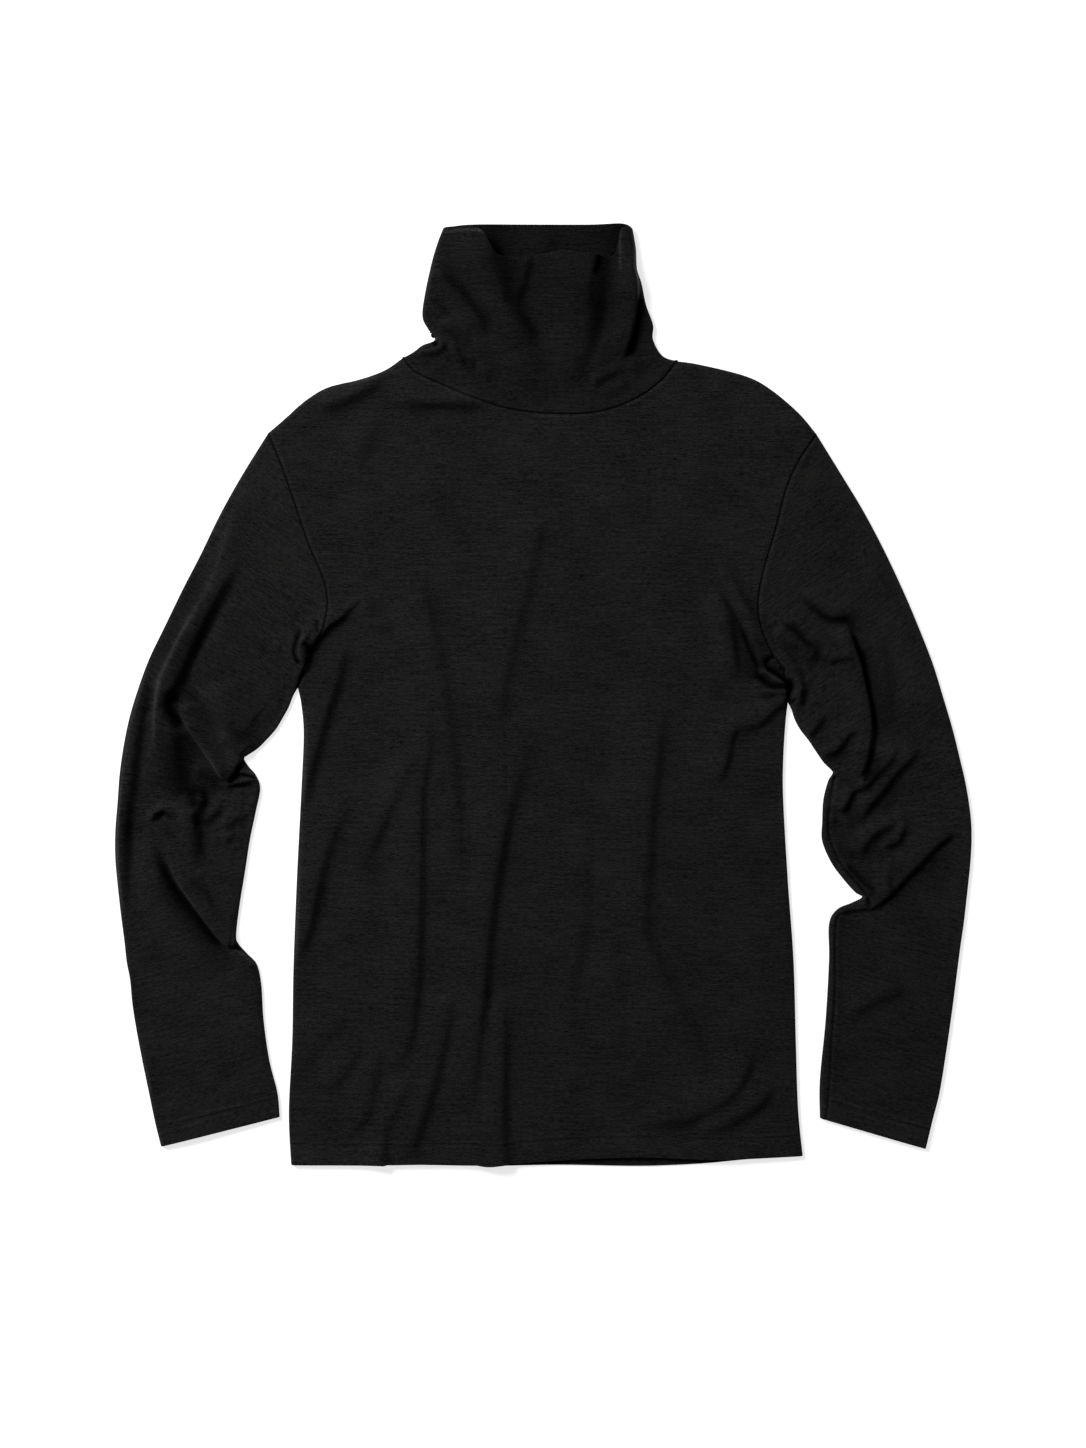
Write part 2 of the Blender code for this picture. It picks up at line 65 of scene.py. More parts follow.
# %% Cloth measures
CLOTH = 1.0                    # one layer of jersey
COLLAR_CLOTH = 2.0             # doubled jersey
SEAM_GAP = 0.15                # left open between two sewn pieces
EDGE_HEIGHT = 2.1              # height of the line where upper and lower layer meet
EDGE_RADIUS = 3.6              # how far in from that line the cloth still curves
LOFT = 4.2                     # top of the upper layer away from folds
PILLOW = 1.0                   # extra height that builds up slowly from the sides
PILLOW_REACH = 14.0
COLLAR_LOFT_AT_NECK = 4.6
COLLAR_LOFT_AT_RIM = 7.4
COLLAR_RISE_LENGTH = 70.0
print("height of two loose layers: %.1f mm" % LOFT)

# %% [markdown]
# ## Outlines
#
# The outline of a laid garment is never quite straight. Each edge is a short list of points, and
# a smooth curve is drawn through them. +X is to the viewer's right, +Y towards the collar.

# %% Outlines of the body and the collar
SIDE_LEFT = [(-221, -411), (-223, -365), (-220, -302), (-219, -241), (-216, -162), (-212, -83),
             (-210, -35), (-212, -9), (-215, 6)]
SIDE_RIGHT = [(227, -403), (223, -362), (221, -302), (219, -232), (214, -162), (210, -92),
              (210, -57), (212, -24), (214, -7)]
ARMHOLE_LEFT = [(-215, 6), (-208, 30), (-196, 53), (-189, 76), (-192, 100), (-205, 131),
                (-217, 166), (-230, 203), (-241, 229)]
ARMHOLE_RIGHT = [(214, -7), (210, 20), (196, 44), (188, 72), (191, 102), (203, 144),
                 (213, 182), (225, 207), (239, 228)]
HEM_FRONT = [(-221, -411), (-143, -411), (-71, -410), (-49, -412), (-29, -410), (23, -406),
             (84, -404), (154, -406), (227, -403)]
HEM_BACK = [(-221, -411), (-126, -411), (-49, -412), (14, -411), (84, -412), (137, -410),
            (181, -406), (227, -403)]
SHOULDER_LEFT = [(-241, 229), (-227, 241), (-209, 257), (-189, 269), (-161, 276), (-139, 284),
                 (-123, 295)]
SHOULDER_RIGHT = [(117, 292), (137, 289), (177, 279), (198, 268), (223, 247), (239, 228)]
NECK_FRONT = [(-123, 295), (-113, 283), (-92, 273), (-64, 261), (-29, 250), (11, 246), (49, 248),
              (80, 259), (102, 274), (117, 292)]
NECK_BACK = [(-123, 295), (-60, 279), (0, 275), (60, 278), (117, 292)]
COLLAR_LEFT = [(-123, 295), (-114, 300), (-106, 306), (-95, 311), (-101, 320), (-106, 331),
               (-104, 350), (-98, 378), (-93, 395), (-88, 408)]
COLLAR_RIGHT = [(117, 292), (104, 297), (96, 311), (96, 324), (90, 341), (86, 360), (82, 373),
                (81, 391), (78, 408)]
RIM_FRONT = [(-88, 408), (-68, 408), (-54, 403), (-47, 393), (-38, 383), (-12, 382), (16, 387),
             (41, 384), (60, 382), (65, 394), (68, 406), (78, 408)]
RIM_BACK = [(-88, 408), (-64, 411), (-12, 411), (41, 411), (69, 412), (78, 408)]

# %% [markdown]
# A sleeve is a tube that bends at the elbow, where the inner side bunches up. It is described by
# sections from the armhole to the cuff. Each row holds the section's point at the outer edge and
# its point at the inner edge, where two notches mark the deepest bunches.

# %% Sections of the sleeves
SLEEVE_LEFT = [
    (-241, 229, -215, 6), (-264, 192, -219, -1), (-283, 158, -223, -11), (-300, 123, -228, -20),
    (-316, 92, -234, -30), (-331, 61, -242, -39), (-345, 32, -250, -47), (-355, 5, -259, -53),
    (-362, -18, -262, -56), (-367, -41, -258, -63), (-371, -68, -252, -70), (-373, -94, -248, -82),
    (-375, -120, -252, -103), (-375, -143, -257, -127), (-373, -166, -261, -153),
    (-370, -193, -266, -184), (-367, -216, -269, -210), (-365, -234, -267, -218),
    (-362, -250, -259, -227), (-360, -271, -251, -236), (-356, -296, -247, -254),
    (-351, -322, -245, -285), (-345, -351, -240, -320), (-340, -375, -233, -348),
    (-335, -395, -231, -369)]
SLEEVE_RIGHT = [
    (239, 228, 214, -7), (260, 194, 217, -13), (280, 161, 220, -22), (298, 127, 225, -31),
    (315, 91, 232, -40), (329, 58, 238, -49), (341, 27, 245, -59), (350, -2, 252, -66),
    (358, -29, 253, -69), (364, -53, 249, -76), (370, -79, 245, -92), (374, -105, 244, -111),
    (375, -125, 244, -128), (374, -146, 252, -147), (372, -166, 263, -162), (370, -184, 273, -173),
    (368, -201, 279, -177), (365, -222, 270, -182), (362, -245, 257, -188), (358, -276, 250, -201),
    (353, -311, 250, -232), (347, -348, 247, -285), (341, -372, 242, -337), (335, -397, 242, -370)]
# The seam that joins the right sleeve along its underside shows just inside its inner edge
SLEEVE_SEAM = [(254, -74), (251, -92), (249, -112), (251, -128), (260, -148), (276, -167),
               (285, -180), (283, -187), (266, -190), (257, -195), (255, -215), (255, -254),
               (252, -302), (249, -355), (247, -372)]

# %% [markdown]
# Curves through points can be drawn by Blender's own curve objects. Here they are worked out in
# arrays instead, because the same points also place the seams, the stitches and the folds.

# %% Smooth curves through points
OUTLINE_SAMPLES = 24           # between two points of a table


def unit(vectors):
    return vectors / np.maximum(np.linalg.norm(vectors, axis=-1, keepdims=True), 1e-9)


def strides(points):
    """The distances from each point of a chain to the next one."""
    return np.linalg.norm(np.diff(points, axis=0), axis=1)


def bell(offset, width):
    """1 where the offset is 0, and almost nothing two widths away."""
    return np.exp(-(offset / width) ** 2)


def catmull_rom(points, where):
    """The point of a smooth curve through points, where 0 is the first one and 1 the next."""
    last = len(points) - 2
    start = min(int(where), last)
    t = where - start
    before = points[max(start - 1, 0)]
    after = points[min(start + 2, len(points) - 1)]
    a, b = points[start], points[start + 1]
    return 0.5 * (2 * a + (b - before) * t + (2 * before - 5 * a + 4 * b - after) * t ** 2
                  + (3 * a - before - 3 * b + after) * t ** 3)


def evenly(points, steps):
    """steps + 1 points at even distances along a chain of points."""
    travelled = np.concatenate([[0], np.cumsum(strides(points))])
    even = np.linspace(0, travelled[-1], steps + 1)
    return np.stack([np.interp(even, travelled, axis) for axis in points.T], axis=1)


def soft_step(value):
    value = np.clip(value, 0, 1)
    return value * value * (3 - 2 * value)


def smooth_outline(table, steps):
    points = np.array(table, dtype=float)
    stations = np.arange((len(points) - 1) * OUTLINE_SAMPLES + 1) / OUTLINE_SAMPLES
    return evenly(np.array([catmull_rom(points, station) for station in stations]), steps)


def smooth_outlines(steps, *tables):
    return [smooth_outline(table, steps) for table in tables]


def along(vertices, shares):
    """Points at shares (0 to 1) of a chain whose vertices stand at even shares."""
    even = np.linspace(0, 1, len(vertices))
    return np.stack([np.interp(shares, even, axis) for axis in vertices.T], axis=1)


def chain(*outlines):
    return np.concatenate([outlines[0]] + [outline[1:] for outline in outlines[1:]])


def moved_off(vertices, towards, distance):
    """A chain moved sideways to the side on which the point towards lies."""
    directions = unit(np.gradient(vertices, axis=0))
    normals = np.stack([-directions[:, 1], directions[:, 0]], axis=1)
    middle = len(vertices) // 2
    if np.dot(normals[middle], towards - vertices[middle]) < 0:
        normals = -normals
    return vertices + normals * distance


def beside_path(xy, path):
    """For points near a path: signed offset (left +), share of its length, left-hand normal."""
    starts, spans = path[:-1], np.diff(path, axis=0)
    offset = xy[:, None, :] - starts
    share = np.clip((offset * spans).sum(-1) / (spans ** 2).sum(-1), 0, 1)
    distance = np.linalg.norm(offset - share[..., None] * spans, axis=-1)
    best = distance.argmin(-1)
    row = np.arange(len(xy))
    side = np.sign(spans[best, 0] * offset[row, best, 1] - spans[best, 1] * offset[row, best, 0])
    normal = unit(np.stack([-spans[best, 1], spans[best, 0]], axis=1))
    return distance[row, best] * side, (best + share[row, best]) / len(spans), normal


# %% [markdown]
# ## Plans of the pieces
#
# Every piece becomes a fine grid, first drawn flat on the table. A Coons patch blends four edge
# curves into a grid that keeps all four exactly, so the outline stays true. Extra lines are put
# close to the edges, the seams and the hem stitches, where the cloth bends sharply.

# %% Grids between four edges
def shares_with(count, extra):
    """Even shares from 0 to 1, with some extra ones between."""
    return np.array(sorted({round(k / count, 6) for k in range(count + 1)}
                           | {round(float(share), 6) for share in extra}))


def from_both_ends(distances, length):
    near = [distance / length for distance in distances]
    return near + [1 - share for share in near]


def coons(low, high, left, right, across, up):
    low, high = along(low, across), along(high, across)
    left, right = along(left, up), along(right, up)
    u = across[None, :, None]
    v = up[:, None, None]
    ruled = (1 - v) * low[None] + v * high[None] + (1 - u) * left[:, None] + u * right[:, None]
    corners = ((1 - v) * ((1 - u) * low[0] + u * low[-1])
               + v * ((1 - u) * high[0] + u * high[-1]))
    return ruled - corners


# %% Outlines as fine chains
SIDE_STEPS, ARMHOLE_STEPS, SHOULDER_STEPS, NECK_STEPS = 128, 76, 30, 72
COLLAR_ROWS = 84
HEM_STEPS = 2 * SHOULDER_STEPS + NECK_STEPS
side_left, side_right = smooth_outlines(SIDE_STEPS, SIDE_LEFT, SIDE_RIGHT)
armhole_left, armhole_right = smooth_outlines(ARMHOLE_STEPS, ARMHOLE_LEFT, ARMHOLE_RIGHT)
shoulder_left, shoulder_right = smooth_outlines(SHOULDER_STEPS, SHOULDER_LEFT, SHOULDER_RIGHT)
neck_front, neck_back = smooth_outlines(NECK_STEPS, NECK_FRONT, NECK_BACK)
rim_front, rim_back = smooth_outlines(NECK_STEPS, RIM_FRONT, RIM_BACK)
hem_front, hem_back = smooth_outlines(HEM_STEPS, HEM_FRONT, HEM_BACK)
collar_left, collar_right = smooth_outlines(COLLAR_ROWS, COLLAR_LEFT, COLLAR_RIGHT)
left_edge, right_edge = chain(side_left, armhole_left), chain(side_right, armhole_right)
print("width across the hem: %.0f mm" % np.linalg.norm(hem_front[-1] - hem_front[0]))

# %% [markdown]
# A hem is the cloth turned up once and held by a twin needle: two rows of stitches, a few
# millimetres apart. The grid gets a line on each row and one to either side of it.

# %% The front and the back, flat
HEM_ROWS = (16.5, 19.6)        # distances of the two rows of stitches from the hem
CUFF_ROWS = (14.5, 19.5)       # and from a cuff
STITCH_WIDTH = 0.9             # how wide a row of stitches sinks in
BODY_HEIGHT, BODY_WIDTH = 690.0, 443.0
SIDE_SHARE = 0.14              # the stretch beside each side, as a share of the way across
ARMPIT_SHARES = (0.575, 0.76)  # the stretch under the arms, as shares of the way up
EDGE_LINES = (0.4, 1.0, 1.9, 3.2, 5.0)    # distances of extra grid lines from a turned edge
SEAM_LINES = (0.4, 0.9, 1.6, 2.6, 4.2)    # and from a seam


def stitch_lines(rows):
    return [row + side for row in rows for side in (-STITCH_WIDTH, 0, STITCH_WIDTH)]


def lines_between(count, low, high):
    """The middles of those of count equal steps that lie between the shares low and high."""
    return [(k + 0.5) / count for k in range(count) if low < (k + 0.5) / count < high]


BODY_STEPS = SIDE_STEPS + ARMHOLE_STEPS
even_across = shares_with(HEM_STEPS, from_both_ends(EDGE_LINES, BODY_WIDTH))
even_up = shares_with(BODY_STEPS, [d / BODY_HEIGHT for d in stitch_lines(HEM_ROWS)]
                      + [1 - d / BODY_HEIGHT for d in SEAM_LINES])
body_across = shares_with(HEM_STEPS, list(even_across)
                          + lines_between(HEM_STEPS, 0, SIDE_SHARE)
                          + lines_between(HEM_STEPS, 1 - SIDE_SHARE, 1))
body_up = shares_with(BODY_STEPS, list(even_up) + lines_between(BODY_STEPS, *ARMPIT_SHARES))
front_plan = coons(hem_front, chain(shoulder_left, neck_front, shoulder_right), left_edge,
                   right_edge, body_across, body_up)
back_plan = coons(hem_back, chain(shoulder_left, neck_back, shoulder_right), left_edge,
                  right_edge, even_across[::2], even_up[::2])
print("front grid:", front_plan.shape[:2], "back grid:", back_plan.shape[:2])

# %% [markdown]
# The rings of a sleeve start along the curved armhole and straighten out further down. Each ring
# runs over the top from the inner edge to the outer edge and back underneath.

# %% The sleeves, flat
CLOSE_SPACING, WIDE_SPACING = 1.7, 2.7
CLOSE_RINGS = (24.0, 420.0)    # the crumpled stretch around the elbow, down the sleeve
OVER_STEPS, UNDER_STEPS = 84, 26
SECTION_SAMPLES = 40           # for each section of the table
ARMHOLE_FADE = 3               # how soon the rings lose the armhole's curve
ELBOW_BLEND = 200.0            # the length over which the yarn changes direction
WEAVE_SHIFT = 400.0            # keeps the yarn of the under layer from repeating the upper one
# Where each elbow is, and how many degrees the yarn is turned above and below it
LEFT_ELBOW = ((-310, -80), (-30, 15))
RIGHT_ELBOW = ((310, -90), (33, -14))


def bent_weave(plan, elbow, turns):
    """Flat cloth coordinates whose rows run across the sleeve above and below its elbow."""
    above, below = [(plan - elbow) @ np.array([[math.cos(turn), -math.sin(turn)],
                                               [math.sin(turn), math.cos(turn)]])
                    for turn in np.radians(turns)]
    lower = soft_step(0.5 - (above[..., 1:] + below[..., 1:]) / 2 / ELBOW_BLEND)
    return above * (1 - lower) + below * lower


def sleeve_plan(table, armhole, elbow, turns):
    table = np.array(table, dtype=float)
    outer_points, inner_points = table[:, :2], table[:, 2:]
    fine = np.linspace(0, len(table) - 1, SECTION_SAMPLES * len(table))
    outer_edge, inner_edge = [np.array([catmull_rom(points, station) for station in fine])
                              for points in (outer_points, inner_points)]
    steps = strides(outer_edge) + strides(inner_edge)
    travelled = np.concatenate([[0], np.cumsum(steps)]) / 2
    length = travelled[-1]
    close_from, close_to = CLOSE_RINGS
    stops = sorted(list(np.arange(0, close_from, WIDE_SPACING))
                   + list(np.arange(close_from, close_to, CLOSE_SPACING))
                   + list(np.linspace(close_to, length, int((length - close_to) / WIDE_SPACING)))
                   + list(SEAM_LINES) + [length - d for d in stitch_lines(CUFF_ROWS)])
    seam = moved_off(armhole, outer_points[len(table) // 2], SEAM_GAP)
    over, under = [], []
    for stop in stops:
        station = np.interp(stop, travelled, fine)
        outer, inner = catmull_rom(outer_points, station), catmull_rom(inner_points, station)
        width = np.linalg.norm(outer - inner)
        near = from_both_ends(EDGE_LINES, width)
        likeness = (1 - station / (len(table) - 1)) ** ARMHOLE_FADE
        for steps_across, plans in ((OVER_STEPS, over), (UNDER_STEPS, under)):
            shares = np.array(sorted(list(np.linspace(0, 1, steps_across + 1)) + near))
            first = inner_points[0] + (outer_points[0] - inner_points[0]) * shares[:, None]
            straight = inner + (outer - inner) * shares[:, None]
            plans.append(straight + likeness * (along(seam, shares) - first))
    over, under = np.array(over), np.array(under)[:, -2:0:-1]
    under_weave = bent_weave(under, elbow, turns) + [WEAVE_SHIFT, 0]
    return over, under, bent_weave(over, elbow, turns), under_weave


sleeve_plans = {"sleeve_left": sleeve_plan(SLEEVE_LEFT, armhole_left, *LEFT_ELBOW),
                "sleeve_right": sleeve_plan(SLEEVE_RIGHT, armhole_right, *RIGHT_ELBOW)}
print("rings of a sleeve:", len(sleeve_plans["sleeve_left"][0]))

# %% [markdown]
# The collar is the last tube. Its upper layer hangs lower at the neck and is pulled down at the
# rim, so the inside of its back layer shows above it.

# %% The collar, flat
COLLAR_WIDTH, COLLAR_HEIGHT = 190.0, 125.0
COLLAR_OVER, COLLAR_UNDER = 110, 56


def collar_plan():
    over_seam = moved_off(neck_front, rim_front[NECK_STEPS // 2], SEAM_GAP)
    under_seam = moved_off(neck_back, rim_back[NECK_STEPS // 2], SEAM_GAP)
    under_seam[0], under_seam[-1] = over_seam[0], over_seam[-1]
    left, right = collar_left.copy(), collar_right.copy()
    left[0], right[0] = over_seam[0], over_seam[-1]
    up = shares_with(COLLAR_ROWS, from_both_ends(SEAM_LINES, COLLAR_HEIGHT))
    near = from_both_ends(EDGE_LINES, COLLAR_WIDTH)
    over = coons(over_seam, rim_front, left, right, shares_with(COLLAR_OVER, near), up)
    under = coons(under_seam, rim_back, left, right, shares_with(COLLAR_UNDER, near), up)
    return over, under[:, -2:0:-1]


collar_over, collar_under = collar_plan()
print("collar grid:", collar_over.shape[:2])

# %% [markdown]
# ## Folds
#
# A fold in laid jersey is a soft ridge with one gentle and one steep side. Each row below is one
# fold: the points its steep side runs through, how high it stands, the widths of its gentle and
# its steep side, how soon it grows and dies away, and how far its crest leans over the steep side.
# The steep side is on the left hand as one walks along the points.
#
# A cloth simulation is another way to make them. It gives lively folds, but one can't choose
# where each one lies, so here they are rows of a table.

# %% The folds of the body
FOLD_COLUMNS = ("path", "rise", "gentle", "steep", "fade_in", "fade_out", "lean")
BODY_FOLDS = {
    "chest": (((4, 166), (-4, 128), (-14, 82), (-24, 42), (-32, 2), (-37, -45)),
      3.8, 28, 6.5, .14, .2, 0),
    "chest_left": (((-110, 122), (-103, 94), (-95, 62), (-87, 26), (-81, -16), (-77, -50),
      (-72, -105), (-68, -160), (-64, -215)), 3.9, 24, 6.5, .14, .1, 0),
    "long_centre": (((-3, -22), (-15, -60), (-28, -105), (-38, -155), (-46, -215), (-50, -262),
      (-55, -305), (-60, -345), (-66, -382)), 6.2, 28, 6, .32, .35, .5),
    "short_left": (((-108, -40), (-117, -70), (-133, -105), (-148, -136), (-160, -160)),
      5, 19, 5.5, .15, .3, 0),
    "long_left": (((-105, 50), (-100, 8), (-96, -34), (-100, -64), (-104, -90), (-105, -150),
      (-107, -215), (-110, -270), (-113, -298), (-121, -322), (-131, -348)),
      5.6, 26, 5.5, .28, .15, .5),
    "side_upper": (((-171, 56), (-173, 32), (-177, 12), (-184, -8), (-194, -42), (-203, -75),
      (-210, -108)), 5.2, 18, 6.5, .2, .2, 0),
    "side_lower": (((-157, -80), (-178, -117), (-189, -145), (-196, -175), (-203, -205),
      (-216, -242)), 5.2, 22, 7, .4, .2, .5),
    "hem_left": (((-75, -248), (-80, -282), (-85, -305), (-90, -325), (-97, -350), (-104, -372),
      (-110, -390), (-113, -407)), 5, 22, 5.5, .2, .1, .5),
    "hem_centre": (((-29, -250), (-32, -290), (-33, -330), (-34, -370), (-33, -392), (-30, -418)),
      6, 22, 5.5, .4, 0, 1),
    "hem_side_short": (((-136, -300), (-143, -325), (-147, -345), (-151, -366), (-159, -378),
      (-176, -390)), 3.8, 15, 5, .3, .25, 0),
    "hem_side": (((-113, -326), (-118, -347), (-128, -367), (-135, -382), (-138, -407)),
      4.6, 13, 4.5, .3, 0, 0),
    "corner_low": (((-155, -302), (-166, -325), (-176, -336), (-191, -351)),
      2.6, 14, 5, .3, .3, 0),
    "corner_high": (((-168, -268), (-180, -296), (-198, -312), (-211, -340)),
      2.0, 20, 7, .3, .3, 0),
    "right_upper": (((111, 6), (104, -45), (97, -103), (94, -150), (92, -205), (104, -236),
      (124, -275), (138, -305), (152, -350)), 4.8, 26, 6.5, .15, .2, 0),
    "right_faint": (((49, -60), (42, -110), (40, -185), (36, -218), (27, -262), (20, -290)),
      3.0, 24, 7, .6, .2, 0),
    "right_second": (((72, -110), (67, -180), (71, -240), (72, -320)), 1.9, 20, 8, .3, .3, 0),
    "hem_right": (((187, -300), (178, -335), (164, -355), (145, -367), (120, -375), (82, -378)),
      4.2, 18, 5.5, .2, .2, 0),
    "hem_right_low": (((207, -340), (190, -360), (172, -372), (155, -380), (132, -383)),
      4.4, 14, 5, .25, .2, 0),
    "neck_left": (((-38, 251), (-60, 251), (-85, 252), (-110, 252), (-140, 257)),
      5.6, 9, 5, .3, .25, 0),
    "shoulder_left": (((-139, 282), (-150, 267), (-172, 255), (-200, 246)),
      4.6, 10, 5, .2, .25, 0),
    "shoulder_left_low": (((-140, 249), (-150, 223), (-162, 193)), 2.4, 14, 7, .3, .3, 0),
    "shoulder_right": (((150, 280), (160, 262), (166, 236)), 1.2, 14, 8, .3, .4, 0),
    "chest_high": (((-176, 172), (-140, 181), (-100, 190), (-66, 196)), 1.2, 16, 9, .3, .4, 0),
    # Under the left arm
    "left_pit": (((-164, 79), (-171, 70), (-181, 63), (-190, 56), (-198, 45), (-203, 35),
      (-208, 21), (-214, 10)), 5.2, 12, 5, .25, .2, 1.5),
    "left_pit_bump": (((-180, 73), (-171, 80), (-162, 85), (-155, 80)), 2.8, 4, 4, .3, .3, 0),
    "left_pit_arc": (((-155, 92), (-151, 80), (-146, 70), (-137, 67), (-122, 66)),
      3.4, 8, 6, .3, .4, 0),
    "left_knot_lip": (((-213, 50), (-216, 41), (-214, 33), (-211, 27)), 6, 3, 2.5, .2, .2, 0),
    "left_knot_loop": (((-212, 56), (-206, 58), (-202, 52)), 5, 2.5, 2.5, .2, .2, 0),
    # Under the right arm
    "right_line_high": (((148, 100), (159, 82), (165, 67), (167, 53), (169, 41), (171, 27),
      (175, 12)), 5.6, 15, 5.5, .3, .25, 0),
    "right_line_soft": (((152, 128), (168, 103), (176, 85), (184, 69), (192, 54)),
      4, 8, 5.5, .3, .25, 0),
    "right_line_low": (((158, 88), (171, 62), (176, 49), (181, 37), (185, 27), (192, 15)),
      5, 7, 4, .3, .15, 0),
    "right_line_lip": (((191, 24), (184, 38), (179, 51), (173, 68)), 4.5, 9, 3.5, .2, .3, 0),
    "right_pit_light": (((190, 24), (196, 19), (203, 14), (212, 9)), 6, 3, 2.5, .15, 0, 0),
    "right_pit_low": (((184, 13), (192, 8), (199, 5), (213, 6)), 5, 4, 3, .2, 0, 0),
    "right_pit_down": (((213, -8), (202, -16), (195, -23), (187, -28), (178, -31), (170, -32),
      (166, -38), (163, -54), (157, -72), (150, -84)), 4, 12, 4, 0, .25, 0),
    "right_pit_soft": (((213, 3), (205, 1), (196, -2), (184, 0)), 3.4, 5, 3.5, 0, .3, 0),
}

